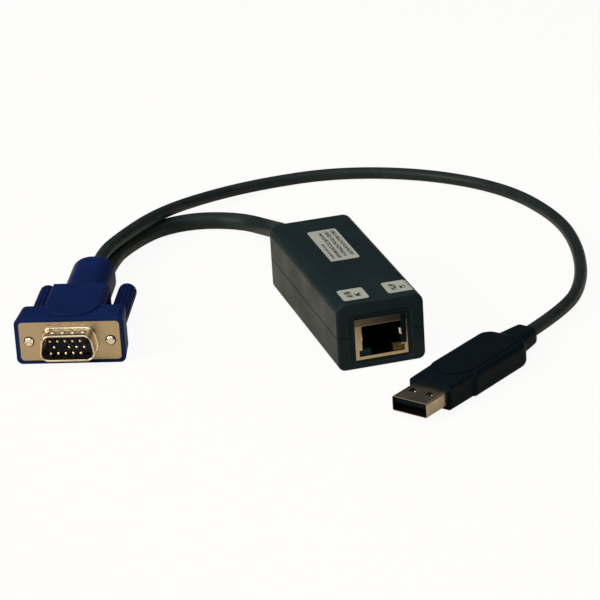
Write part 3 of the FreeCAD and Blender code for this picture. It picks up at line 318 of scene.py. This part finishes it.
# %% Floor
FLOOR_SIZE = 12.0
FLOOR_GLOW = 0.93
MIRRORED_GLOW = 0.1
FLOOR_COLOUR = (0.8, 0.71, 0.57)
bpy.ops.object.select_all(action="DESELECT")
bpy.ops.mesh.primitive_plane_add(size=FLOOR_SIZE, location=(0, 0, 0))
floor = bpy.context.object
floor.name = "floor"
floor_paint = bpy.data.materials.new("floor_paint")
sheet = Tree(floor_paint)
sheet.tree.nodes.clear()
to_camera = sheet.node("LightPath", {}, {}, "Is Camera Ray")
in_gloss = sheet.node("LightPath", {}, {}, "Is Glossy Ray")
in_glass = sheet.node("LightPath", {}, {}, "Is Transmission Ray")
glow_share = (to_camera * FLOOR_GLOW).maths("MAXIMUM", (in_gloss + in_glass) * MIRRORED_GLOW)
matt = sheet.node("BsdfDiffuse", {}, {"Color": FLOOR_COLOUR})
glow = sheet.node("Emission", {}, {"Color": (1.0, 1.0, 1.0), "Strength": 1.0})
both = sheet.node("MixShader", {}, {0: glow_share, 1: matt, 2: glow})
sheet.node("OutputMaterial", {}, {"Surface": both})
floor.data.materials.append(floor_paint)
print("the floor glows", FLOOR_GLOW, "to the camera and", MIRRORED_GLOW, "in gloss")

# %% Sky
SKY_LOW = 0.05
SKY_HIGH = 0.7
DIM_BELOW = 0.45
BRIGHT_ABOVE = 0.95
world = bpy.data.worlds.new("studio")
bpy.context.scene.world = world
studio = Tree(world)
to_camera = studio.node("LightPath", {}, {}, "Is Camera Ray")
way = studio.node("TexCoord", {}, {}, "Generated")
rise = studio.node("SeparateXYZ", {}, {0: way}, 2)
level = rise.stretch(DIM_BELOW, BRIGHT_ABOVE) * (SKY_HIGH - SKY_LOW) + SKY_LOW
studio.feed(studio.tree.nodes["Background"].inputs["Strength"], level.maths("MAXIMUM", to_camera))
studio.tree.nodes["Background"].inputs["Color"].default_value = (1, 1, 1, 1)
bpy.context.scene.view_settings.view_transform = "Standard"
print("the sky goes from", SKY_LOW, "to", SKY_HIGH)

# %% [markdown]
# ### Lamps
# Three large soft lamps look at the origin: a white one overhead, a weak white one in front and a
# strong warm one on the left, which lights the long side of the box.


# %% Lamps
def soft_lamp(name, spot, size, power, tint):
    lamp = bpy.data.lights.new(name, "AREA")
    lamp.shape = "RECTANGLE"
    lamp.size, lamp.size_y = size
    lamp.energy = power
    lamp.color = tint
    holder = bpy.data.objects.new(name, lamp)
    bpy.context.scene.collection.objects.link(holder)
    holder.location = spot
    holder.rotation_euler = (-Vector(spot)).to_track_quat("-Z", "Y").to_euler()
    print(name, "at", spot, "with", power, "W")


WHITE = (1.0, 1.0, 1.0)
WARM = (1.0, 0.93, 0.83)
soft_lamp("top_lamp", (-0.2, -0.5, 1.5), (1.2, 0.8), 7.0, WHITE)
soft_lamp("front_lamp", (-0.5, -1.5, 0.8), (0.9, 0.7), 4.5, WHITE)
soft_lamp("left_lamp", (-1.1, -0.2, 0.7), (0.7, 0.5), 14.0, WARM)

# %% [markdown]
# ## Finishes
# One function for each kind of surface.  Most mix at least two scales: a fine grain for the
# touch and a slow cloud for handling and age.

# %% [markdown]
# ### Moulded plastics
# The box, the hood and the grips are injection mouldings.  Their moulds are spark-eroded, which
# leaves a fine even grain: a shallow bump and a little unevenness in the shine.  Handling polishes
# the high spots, so a slow cloud makes some patches slightly smoother.


# %% Moulded plastic
def shade(colour, factor):
    return tuple(channel * factor for channel in colour)


def moulded(name, colour, roughness, grain_mm=0.35, grain_depth=0.012, **plain):
    finish = Finish(name, colour, roughness, **plain)
    grain = finish.noise(grain_mm, 2.0)
    cloud = finish.noise(14.0, 3.0)
    handled = cloud.stretch(0.35, 0.7)
    finish.paint(colour=finish.blend(handled, shade(colour, 0.86), shade(colour, 1.12)),
                 roughness=roughness + 0.08 * grain - 0.1 * handled)
    finish.relief(grain, grain_depth)
    return finish


housing = moulded("housing_plastic", (0.0086, 0.0178, 0.0202), 0.38, specular_ior_level=0.06)
navy = moulded("navy_plastic", (0.0045, 0.0135, 0.067), 0.4, 0.3, 0.008, specular_ior_level=0.03)
grip_black = moulded("grip_plastic", (0.0025, 0.0064, 0.0095), 0.4, 0.3, 0.008,
                     specular_ior_level=0.03)
jack_black = moulded("jack_plastic", (0.0012, 0.0014, 0.003), 0.4, 0.2, 0.004,
                     specular_ior_level=0.08)
insulator_blue = moulded("insulator_plastic", (0.011, 0.021, 0.04), 0.35, 0.2, 0.003,
                         specular_ior_level=0.1)
natural = moulded("natural_plastic", (0.55, 0.54, 0.48), 0.5, 0.3, 0.004)
rubber = moulded("grommet_rubber", (0.012, 0.016, 0.017), 0.7, 0.25, 0.01,
                 specular_ior_level=0.1)
print("moulded plastics:", [f.material.name for f in (housing, navy, grip_black)])

# %% [markdown]
# ### Plated metals
# The plug shells are drawn or folded steel with a thin nickel plate.  The plate follows the
# rolling marks of the sheet, so its grain is a noise stretched along one direction.


# %% Plated metal
def plated(name, colour, roughness, turn=0.0, along=(0.05, 1, 1), marks=0.12):
    finish = Finish(name, colour, roughness, 1.0)
    rolling = finish.noise(0.18, 2.0, 0.5, along, turn)
    smudge = finish.noise(4.0, 3.0).stretch(0.4, 0.75)
    finish.paint(colour=finish.blend(smudge, colour, shade(colour, 0.86)),
                 roughness=roughness + marks * rolling + 0.1 * smudge)
    finish.relief(rolling, 0.0015)
    return finish


nickel = plated("warm_nickel", (0.44, 0.35, 0.225), 0.3, VIDEO_TURN)
polished = plated("polished_nickel", (0.72, 0.62, 0.45), 0.12, VIDEO_TURN, marks=0.04)
screw_nickel = plated("screw_nickel", (0.8, 0.73, 0.6), 0.16, VIDEO_TURN)
gold = plated("contact_gold", (0.85, 0.68, 0.4), 0.2)
bright_can = plated("bright_can", (0.7, 0.7, 0.72), 0.25)
dark_zinc = plated("dark_zinc", (0.12, 0.12, 0.13), 0.35)

# %% [markdown]
# ### The inside of the USB shell
# Inside its mouth the folded shell is painted dark, a painted shade over the hollow, and its shine
# is made rougher.
# The mask is the room inside the shell, in the plug's own frame.


# %% Shell with painted shade inside
ROOM_HALF_WIDTH = 5.85
ROOM_HALF_HEIGHT = 2.1
MASK_EDGE = 0.05


def shell_with_painted_shade(name, bright, dark, roughness):
    finish = plated(name, bright, roughness, USB_TURN, (1, 0.05, 1))
    x, _, z = finish.axes(finish.place(turn=USB_TURN, shift=USB_SPOT))
    inside = (abs(x).under(ROOM_HALF_WIDTH, MASK_EDGE)
              * abs(z).under(ROOM_HALF_HEIGHT, MASK_EDGE))
    smudge = finish.noise(4.0, 3.0).stretch(0.4, 0.75)
    plate = finish.blend(smudge, bright, shade(bright, 0.82))
    # Painted shade: the room inside the shell is darkened and made rougher.
    finish.paint(colour=finish.blend(inside, plate, dark),
                 roughness=roughness + 0.1 * smudge + 0.2 * inside)
    return finish


usb_steel = shell_with_painted_shade("usb_steel", (0.38, 0.33, 0.24), (0.03, 0.028, 0.024), 0.26)

# %% [markdown]
# ### The drawn skirt
# Drawing the D-shaped skirt out of the plate stretches and polishes the metal, so the skirt is
# smoother and brighter than the plate.  The mask is the distance from the plate, along the plug.


# %% Drawn skirt
def drawn(name, plate, skirt, rough_plate, rough_skirt):
    finish = plated(name, plate, rough_plate, VIDEO_TURN)
    _, y, _ = finish.axes(finish.place(turn=VIDEO_TURN, shift=VIDEO_SPOT))
    on_skirt = y.under(-0.35, 0.2)
    rolling = finish.noise(0.2, 2.0, 0.5, (0.05, 1, 1), VIDEO_TURN)
    finish.paint(colour=finish.blend(on_skirt, plate, skirt),
                 roughness=rough_plate + on_skirt * (rough_skirt - rough_plate) + 0.08 * rolling)
    return finish


drawn_nickel = drawn("drawn_nickel", (0.44, 0.35, 0.225), (0.62, 0.52, 0.37), 0.3, 0.1)

# %% [markdown]
# ### The jack's tin
# The shield of the jack is left bright only along its left and lower edge.  Above the mouth a
# painted shade fades the tin to dark brown, deeper towards the right, by a mask on the height and
# on the width.


# %% Tin with painted shade
PAINTED_SHADE_FROM = 10.4
PAINTED_SHADE_TO = 11.0


def tin_with_painted_shade(name, bright, tin_shade_colour, roughness):
    finish = plated(name, bright, roughness)
    x, _, z = finish.axes(finish.place())
    low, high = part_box("jack_shield")
    over_mouth = z.stretch(low[2] / MM + PAINTED_SHADE_FROM, low[2] / MM + PAINTED_SHADE_TO)
    to_the_right = x.stretch(low[0] / MM, high[0] / MM)
    patch = finish.noise(1.2, 3.0)
    # Painted shade: the tin over the mouth is darkened, more towards the right, with a few random
    # patches mixed in.
    painted_shade_and_patches = over_mouth * (0.7 + to_the_right * 0.3) + patch * 0.15
    finish.paint(colour=finish.blend(painted_shade_and_patches.stretch(0.0, 1.0), bright, tin_shade_colour),
                 roughness=roughness + 0.2 * painted_shade_and_patches)
    return finish


jack_tin = tin_with_painted_shade("jack_tin", (0.46, 0.38, 0.25), (0.052, 0.05, 0.038), 0.3)
print("metals:", [f.material.name for f in (nickel, usb_steel, jack_tin)])

# %% [markdown]
# ### The small finishes
# The jackets of the leads, the stickers, the lamps and the circuit board.


# %% Cable jacket
def jacket():
    finish = Finish("cable_jacket", (0.011, 0.0175, 0.0175), 0.4, specular_ior_level=0.12)
    skin = finish.noise(0.5, 3.0)
    scuff = finish.noise(7.0, 4.0).stretch(0.45, 0.7)
    finish.paint(colour=finish.blend(scuff, (0.01, 0.0165, 0.0165), (0.015, 0.0235, 0.023)),
                 roughness=0.34 + 0.1 * skin + 0.1 * scuff)
    finish.relief(skin, 0.01)
    return finish


# %% Sticker with plain printed marks
FILM = (0.35, 0.36, 0.315)
INK = (0.02, 0.022, 0.022)


def sticker(name, node, rows, strokes_per_mm, boldness):
    """Pale film.  Each row of its print is a band along Y that is broken into plain strokes."""
    finish = Finish(name, FILM, 0.42, specular_ior_level=0.3)
    low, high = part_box(node)
    x, y, _ = finish.axes(finish.place())
    across, along = x - (low[0] + high[0]) / 2 / MM, y - (low[1] + high[1]) / 2 / MM
    ink = None
    for row, (offset, start, end, height) in enumerate(rows):
        line = abs(across - offset).under(height / 2, 0.05)
        span = abs(along - (start + end) / 2).under((end - start) / 2, 0.05)
        strokes = finish.node("TexNoise", {"noise_dimensions": "2D"},
                              {"Vector": finish.place((1000 * strokes_per_mm * 0.6,
                                                       1000 * strokes_per_mm, 0),
                                                      shift=(0, row * MM * 7.3, 0)),
                               "Scale": 1.0, "Detail": 0.0})
        mark = line * span * strokes.stretch(0.5 - boldness, 0.55 - boldness)
        ink = mark if ink is None else ink + mark
    fibre = finish.noise(0.4, 2.0)
    film = finish.blend(fibre, shade(FILM, 0.93), shade(FILM, 1.07))
    finish.paint(colour=finish.blend(ink.stretch(0.0, 1.0), film, INK),
                 roughness=0.4 + 0.08 * fibre)
    return finish


# %% Lamps and board
def lamp_plastic(name, colour):
    finish = Finish(name, colour, 0.45, specular_ior_level=0.08)
    frost = finish.noise(0.5, 2.0)
    finish.paint(colour=finish.blend(frost.stretch(0.35, 0.65), shade(colour, 0.4),
                                     shade(colour, 1.6)),
                 roughness=0.4 + 0.15 * frost)
    finish.relief(frost, 0.02)
    return finish


def solder_mask():
    lacquer, over_copper = (0.01, 0.09, 0.035), (0.02, 0.16, 0.06)
    finish = Finish("solder_mask", lacquer, 0.35)
    weave = finish.node("TexBrick", {}, {"Vector": finish.place(), "Scale": 420.0,
                                         "Mortar Size": 0.06}, "Fac")
    finish.paint(colour=finish.blend(weave, lacquer, over_copper), roughness=0.3 + 0.1 * weave)
    return finish


jacket_finish = jacket()
lamp_green = lamp_plastic("green_lamp", (0.003, 0.018, 0.016))
lamp_yellow = lamp_plastic("yellow_lamp", (0.07, 0.052, 0.014))
board = solder_mask()
core_red = moulded("core_insulation", (0.3, 0.03, 0.02), 0.45)


# %% [markdown]
# ### Stickers
# One long sticker with four printed rows along it, and one small square sticker over each side of
# the jack.  The print is plain bars, because a sticker's words don't belong on this part.

# %% Sticker finishes
SPEC_ROWS = [(-3.1, -11.5, 2.0, 0.9), (-1.1, -11.5, 11.0, 1.3), (1.0, -10.5, 12.0, 1.3),
             (3.1, -10.5, 12.2, 1.3)]
PORT_ROWS = [(-1.35, -2.4, 2.4, 1.9), (1.4, -2.0, 0.4, 1.9)]
spec_paper = sticker("spec_sticker", "spec_label", SPEC_ROWS, 2.6, 0.06)
port_left_paper = sticker("port_sticker_left", "port_label_left", PORT_ROWS, 1.5, 0.1)
port_right_paper = sticker("port_sticker_right", "port_label_right", PORT_ROWS, 1.5, 0.1)
print("stickers with", len(SPEC_ROWS), "and", len(PORT_ROWS), "rows")

# %% [markdown]
# ### Dressing the solids
# The table names the finish of each solid.  Every slot of a piece takes the same finish.

# %% Which finish each solid takes
FINISH_OF = {
    "upper_shell": housing, "lower_shell": housing, "housing_screws": dark_zinc,
    "circuit_board": board, "controller_chip": jack_black, "driver_chip": jack_black,
    "crystal_can": bright_can, "bulk_capacitor": bright_can, "chip_capacitors": natural,
    "wire_header": natural, "inner_wires": core_red, "cable_grommet": rubber,
    "cable_tie": natural, "jack_shield": jack_tin, "jack_body": jack_black,
    "jack_contacts": gold, "lamp_green": lamp_green, "lamp_yellow": lamp_yellow,
    "spec_label": spec_paper, "port_label_left": port_left_paper,
    "port_label_right": port_right_paper, "video_hood": navy, "video_front_shell": drawn_nickel,
    "video_rear_shell": nickel, "video_insulator": insulator_blue, "video_pins": gold,
    "video_mould": natural, "screw_left": screw_nickel, "screw_right": screw_nickel,
    "knob_left": navy, "knob_right": navy, "usb_overmould": grip_black, "usb_mould": natural,
    "usb_shell": usb_steel, "usb_tongue": grip_black, "usb_contacts": gold,
    "video_cable": jacket_finish, "usb_cable": jacket_finish,
}


def dress(thing, finish):
    if not thing.material_slots:
        thing.data.materials.append(finish.material)
    for slot in thing.material_slots:
        slot.material = finish.material


for name, finish in FINISH_OF.items():
    dress(nodes[name], finish)
for cord in (video_cord, usb_cord):
    dress(cord, jacket_finish)
print("solids without a finish:", sorted(set(nodes) - set(FINISH_OF)))

# %% [markdown]
# ## Small parts
# Each small part is modelled by hand from a primitive: in edit mode its faces are picked by their
# place or direction, then inset, extruded or cut.  A connector's parts are made in its own frame
# and are then laid in place, so that the finished mesh holds its place and the object stays at
# the origin.


# %% Helpers for modelling by hand
SIDES = (("left", -1), ("right", 1))


def begin(name, primitive, **settings):
    bpy.ops.object.select_all(action="DESELECT")
    primitive(**settings)
    piece = bpy.context.object
    piece.name = name
    bpy.ops.object.transform_apply(location=True, rotation=True, scale=True)
    return piece


def pick_faces(piece, wanted):
    """Leave the piece in edit mode with only the wanted faces selected."""
    bpy.ops.object.mode_set(mode="EDIT")
    bpy.ops.mesh.select_mode(type="FACE")
    bpy.ops.mesh.select_all(action="DESELECT")
    bpy.ops.object.mode_set(mode="OBJECT")
    for face in piece.data.polygons:
        face.select = wanted(face)
    bpy.ops.object.mode_set(mode="EDIT")


def soften(piece, width, segments=2):
    """Round the sharp edges a little and smooth the rest."""
    bpy.ops.object.mode_set(mode="OBJECT")
    bevel = piece.modifiers.new("soften", "BEVEL")
    bevel.width = width
    bevel.segments = segments
    bevel.limit_method = "ANGLE"
    bevel.angle_limit = math.radians(40)
    bpy.ops.object.modifier_apply(modifier="soften")
    bpy.ops.object.shade_smooth_by_angle(angle=math.radians(35))


def lay(piece, name, where, body, finish):
    """A copy of the piece, with its own mesh, laid in place and dressed."""
    copy = bpy.data.objects.new(name, piece.data.copy())
    copy.data.name = name
    bpy.context.scene.collection.objects.link(copy)
    copy.data.transform(where)
    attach(copy, body)
    copy.data.materials.clear()
    dress(copy, finish)
    print(name, "has", len(copy.data.polygons), "faces")
    return copy


def put_away(piece):
    bpy.data.objects.remove(piece)


# %% [markdown]
# ### Thumbscrew grips
# The grip of a thumbscrew is a long cylinder with flutes for the fingers and a stepped tip.  Every
# other face of a cylinder of 28 sides is inset and sunk, which leaves the ribs standing, and the
# end face is inset and drawn out to make the step.

# %% Grips
GRIP_OFFSET = 12.5 * MM
GRIP_RADIUS = 2.95 * MM
GRIP_START = 11.45 * MM
GRIP_SHOULDER = 38.4 * MM
GRIP_SIDES = 28
FLUTE_MARGIN = 0.1 * MM
FLUTE_DEPTH = 0.45 * MM
TIP_STEP = 0.85 * MM
TIP_LENGTH = 1.6 * MM
TIP_CHAMFER = 0.3 * MM

grip_length = GRIP_SHOULDER - GRIP_START
grip = begin("thumbscrew_grip", bpy.ops.mesh.primitive_cylinder_add, vertices=GRIP_SIDES,
             radius=GRIP_RADIUS, depth=grip_length, location=(0, 0, grip_length / 2))
pick_faces(grip, lambda face: abs(face.normal.z) < 0.5 and round(
    math.atan2(face.normal.y, face.normal.x) / math.tau * GRIP_SIDES - 0.5) % 2 == 0)
bpy.ops.mesh.inset(thickness=FLUTE_MARGIN, depth=-FLUTE_DEPTH, use_individual=True)
pick_faces(grip, lambda face: face.normal.z > 0.9 and face.center.z > grip_length - 0.01 * MM)
bpy.ops.mesh.inset(thickness=TIP_STEP, depth=0)
bpy.ops.mesh.extrude_region_move(TRANSFORM_OT_translate={"value": (0, 0, TIP_LENGTH)})
bpy.ops.mesh.inset(thickness=TIP_CHAMFER, depth=TIP_CHAMFER)
soften(grip, 0.07 * MM, 1)
laid_down = Matrix.Rotation(math.radians(-90), 4, "X")
for side, sign in SIDES:
    spot = Matrix.Translation((sign * GRIP_OFFSET, GRIP_START, 0))
    laid = lay(grip, "thumbscrew_grip_" + side, VIDEO_FRAME @ spot @ laid_down,
               "thumbscrew_" + side, navy)
    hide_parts("knob_" + side)
put_away(grip)

# %% [markdown]
# ### Earthing bumps on the skirt
# Four bumps are pressed out of the top of the D-shaped skirt.  Each is the cap of a sphere: the
# sphere is cut with a bisect, and the cut is filled so that the bump is a closed shape.

# %% Bumps
SKIRT_DEPTH = 5.9
SKIRT_HALF_HEIGHT = 4.15
BUMP_COUNT = 4
BUMP_RADIUS = 1.5 * MM
BUMP_CUT = 0.97 * MM
BUMP_PITCH = 3.1 * MM
BUMP_SINK = 0.03 * MM
BUMP_STRETCH = 1.15
bump = begin("skirt_bump", bpy.ops.mesh.primitive_uv_sphere_add, segments=32, ring_count=20,
             radius=BUMP_RADIUS)
bpy.ops.object.mode_set(mode="EDIT")
bpy.ops.mesh.select_all(action="SELECT")
bpy.ops.mesh.bisect(plane_co=(0, 0, BUMP_CUT), plane_no=(0, 0, 1), clear_inner=True,
                    use_fill=True)
bpy.ops.mesh.select_all(action="SELECT")
bpy.ops.transform.resize(value=(1.0, BUMP_STRETCH, 1.0))
bpy.ops.object.mode_set(mode="OBJECT")
bpy.ops.object.shade_smooth_by_angle(angle=math.radians(50))
for index in range(BUMP_COUNT):
    spot = Matrix.Translation(((index - (BUMP_COUNT - 1) / 2) * BUMP_PITCH,
                               -SKIRT_DEPTH * MM / 2,
                               SKIRT_HALF_HEIGHT * MM - BUMP_CUT - BUMP_SINK))
    lay(bump, "skirt_bump_%d" % (index + 1), VIDEO_FRAME @ spot, "dongle",
                     polished)
put_away(bump)

# %% [markdown]
# ### Beads of the skirt
# Drawing leaves a rounded bead where the skirt rises from the plate, and its mouth has a rolled
# lip.  Both follow the D outline, so each is a closed curve along that outline, given a round
# section and then turned into a mesh.

# %% Beads
SKIRT_WIDE = 8.8
SKIRT_SLANT = math.radians(10)
SKIRT_CORNER = 2.6
CORNER_STEPS = 8


def d_outline(outset):
    """Points round the D, this far outside it, counter-clockwise, in millimetres."""
    narrow = SKIRT_WIDE - 2 * SKIRT_HALF_HEIGHT * math.tan(SKIRT_SLANT)
    corners = [(SKIRT_WIDE, -SKIRT_HALF_HEIGHT, -90, 100), (narrow, SKIRT_HALF_HEIGHT, 10, 80)]
    points = []
    for across, high, first, sweep in corners:
        lean = math.radians(sweep) / 2
        middle = math.radians(first) + lean
        reach = SKIRT_CORNER / math.cos(lean)
        centre = (across - reach * math.cos(middle), high - reach * math.sin(middle))
        for step in range(CORNER_STEPS + 1):
            angle = math.radians(first + sweep * step / CORNER_STEPS)
            points.append((centre[0] + (SKIRT_CORNER + outset) * math.cos(angle),
                           centre[1] + (SKIRT_CORNER + outset) * math.sin(angle)))
    return points + [(-across, high) for across, high in reversed(points)]


def bead(name, outset, depth, radius):
    curve = bpy.data.curves.new(name, "CURVE")
    curve.dimensions = "3D"
    curve.bevel_depth = radius * MM
    curve.bevel_resolution = 3
    spline = curve.splines.new("POLY")
    outline = d_outline(outset)
    spline.points.add(len(outline) - 1)
    for point, (across, high) in zip(spline.points, outline):
        point.co = (across * MM, -depth * MM, high * MM, 1)
    spline.use_cyclic_u = True
    bpy.ops.object.select_all(action="DESELECT")
    ring = bpy.data.objects.new(name + "_line", curve)
    bpy.context.scene.collection.objects.link(ring)
    ring.select_set(True)
    bpy.context.view_layer.objects.active = ring
    bpy.ops.object.convert(target="MESH")
    ring = bpy.context.object
    bpy.ops.object.shade_smooth_by_angle(angle=math.radians(60))
    laid = lay(ring, name, VIDEO_FRAME, "dongle", polished)
    put_away(ring)
    return laid


beads = [bead("skirt_root_bead", 0.1, 0.45, 0.5), bead("skirt_lip", -0.2, 5.85, 0.3)]

# %% [markdown]
# ### The jack's side springs
# A strip of bare metal bows into the jack's mouth on each side and touches the plug.  The strip
# starts as a flat block whose end face is drawn out step by step along the bow.

# %% Springs
SPRING_SHEET = 0.2 * MM
SPRING_TALL = 2.0 * MM
SPRING_LIFT = 0.35 * MM
SPRING_FOOT = 0.3 * MM
SPRING_PROUD = 0.1 * MM
SPRING_GAP = 0.05 * MM
MOUTH_HALF_WIDTH = 6.1 * MM
SPRING_STEPS = [(0.42, 0.35), (0.3, 0.6), (0.05, 0.9), (-0.1, 1.1), (-0.3, 1.4)]
spring = begin("mouth_spring", bpy.ops.mesh.primitive_cube_add, size=1.0,
               scale=(SPRING_SHEET, SPRING_FOOT, SPRING_TALL), location=(0, 0, 0))
pick_faces(spring, lambda face: face.normal.y > 0.9)
for inwards, deeper in SPRING_STEPS:
    bpy.ops.mesh.extrude_region_move(
        TRANSFORM_OT_translate={"value": (-inwards * MM, deeper * MM, 0)})
soften(spring, 0.06 * MM)
for side, sign in SIDES:
    spot = Matrix.Translation((sign * (MOUTH_HALF_WIDTH + SPRING_GAP), -SPRING_PROUD,
                               SPRING_LIFT))
    flip = Matrix.Identity(4) if sign > 0 else Matrix.Rotation(math.pi, 4, "Y")
    lay(spring, "mouth_spring_" + side, JACK_FRAME @ spot @ flip, "dongle",
        polished)
put_away(spring)

# %% [markdown]
# ### The jack's dark side cheek
# Right of the mouth a thin block of dark plastic sits in front of the shield.  It is partly the
# insert's own dark plastic and partly a stand-in for the shade of the recess there.  Its front
# face is inset and raised, so that it has a narrow step all round.

# %% Cheek
CHEEK_WIDTH = 1.65 * MM
CHEEK_HEIGHT = 9.3 * MM
CHEEK_SHEET = 0.2 * MM
CHEEK_LIFT = 1.25 * MM
CHEEK_MARGIN = 0.3 * MM
CHEEK_STEP = 0.15 * MM
cheek = begin("jack_shade_cheek", bpy.ops.mesh.primitive_cube_add, size=1.0,
              scale=(CHEEK_WIDTH, CHEEK_SHEET, CHEEK_HEIGHT), location=(0, 0, 0))
pick_faces(cheek, lambda face: face.normal.y < -0.9)
bpy.ops.mesh.inset(thickness=CHEEK_MARGIN, depth=0)
bpy.ops.mesh.extrude_region_move(TRANSFORM_OT_translate={"value": (0, -CHEEK_STEP, 0)})
soften(cheek, 0.06 * MM)
spot = Matrix.Translation((MOUTH_HALF_WIDTH + CHEEK_WIDTH / 2, 0, CHEEK_LIFT))
# A dark block that partly stands in for the shade of the recess right of the mouth.
lay(cheek, "jack_cheek_right", JACK_FRAME @ spot, "dongle", grip_black)
put_away(cheek)

# %% [markdown]
# ### Lips of the latch windows
# Each window in the USB shell has one edge turned up a little, which catches the light.  A lip is
# a small block whose top is inset and lifted into a rounded ridge.

# %% Lips
WINDOW_PLACE = (2.9 * MM, 6.4 * MM)
LIP_SIZE = (0.3 * MM, 1.7 * MM, 0.22 * MM)
LIP_ASIDE = 1.0 * MM
LIP_MARGIN = 0.07 * MM
LIP_RISE = 0.08 * MM
SHELL_TOP = 2.25 * MM
lip = begin("window_lip", bpy.ops.mesh.primitive_cube_add, size=1.0, scale=LIP_SIZE,
            location=(0, 0, 0))
pick_faces(lip, lambda face: face.normal.z > 0.9)
bpy.ops.mesh.inset(thickness=LIP_MARGIN, depth=LIP_RISE)
soften(lip, 0.04 * MM)
for name, sign in SIDES:
    spot = Matrix.Translation((sign * WINDOW_PLACE[0] + LIP_ASIDE, WINDOW_PLACE[1],
                               SHELL_TOP))
    lay(lip, "window_lip_" + name, USB_FRAME @ spot, "dongle", polished)
put_away(lip)

# %% [markdown]
# ## Last update
# The scene is brought up to date at the end.

# %% Update
bpy.context.view_layer.update()
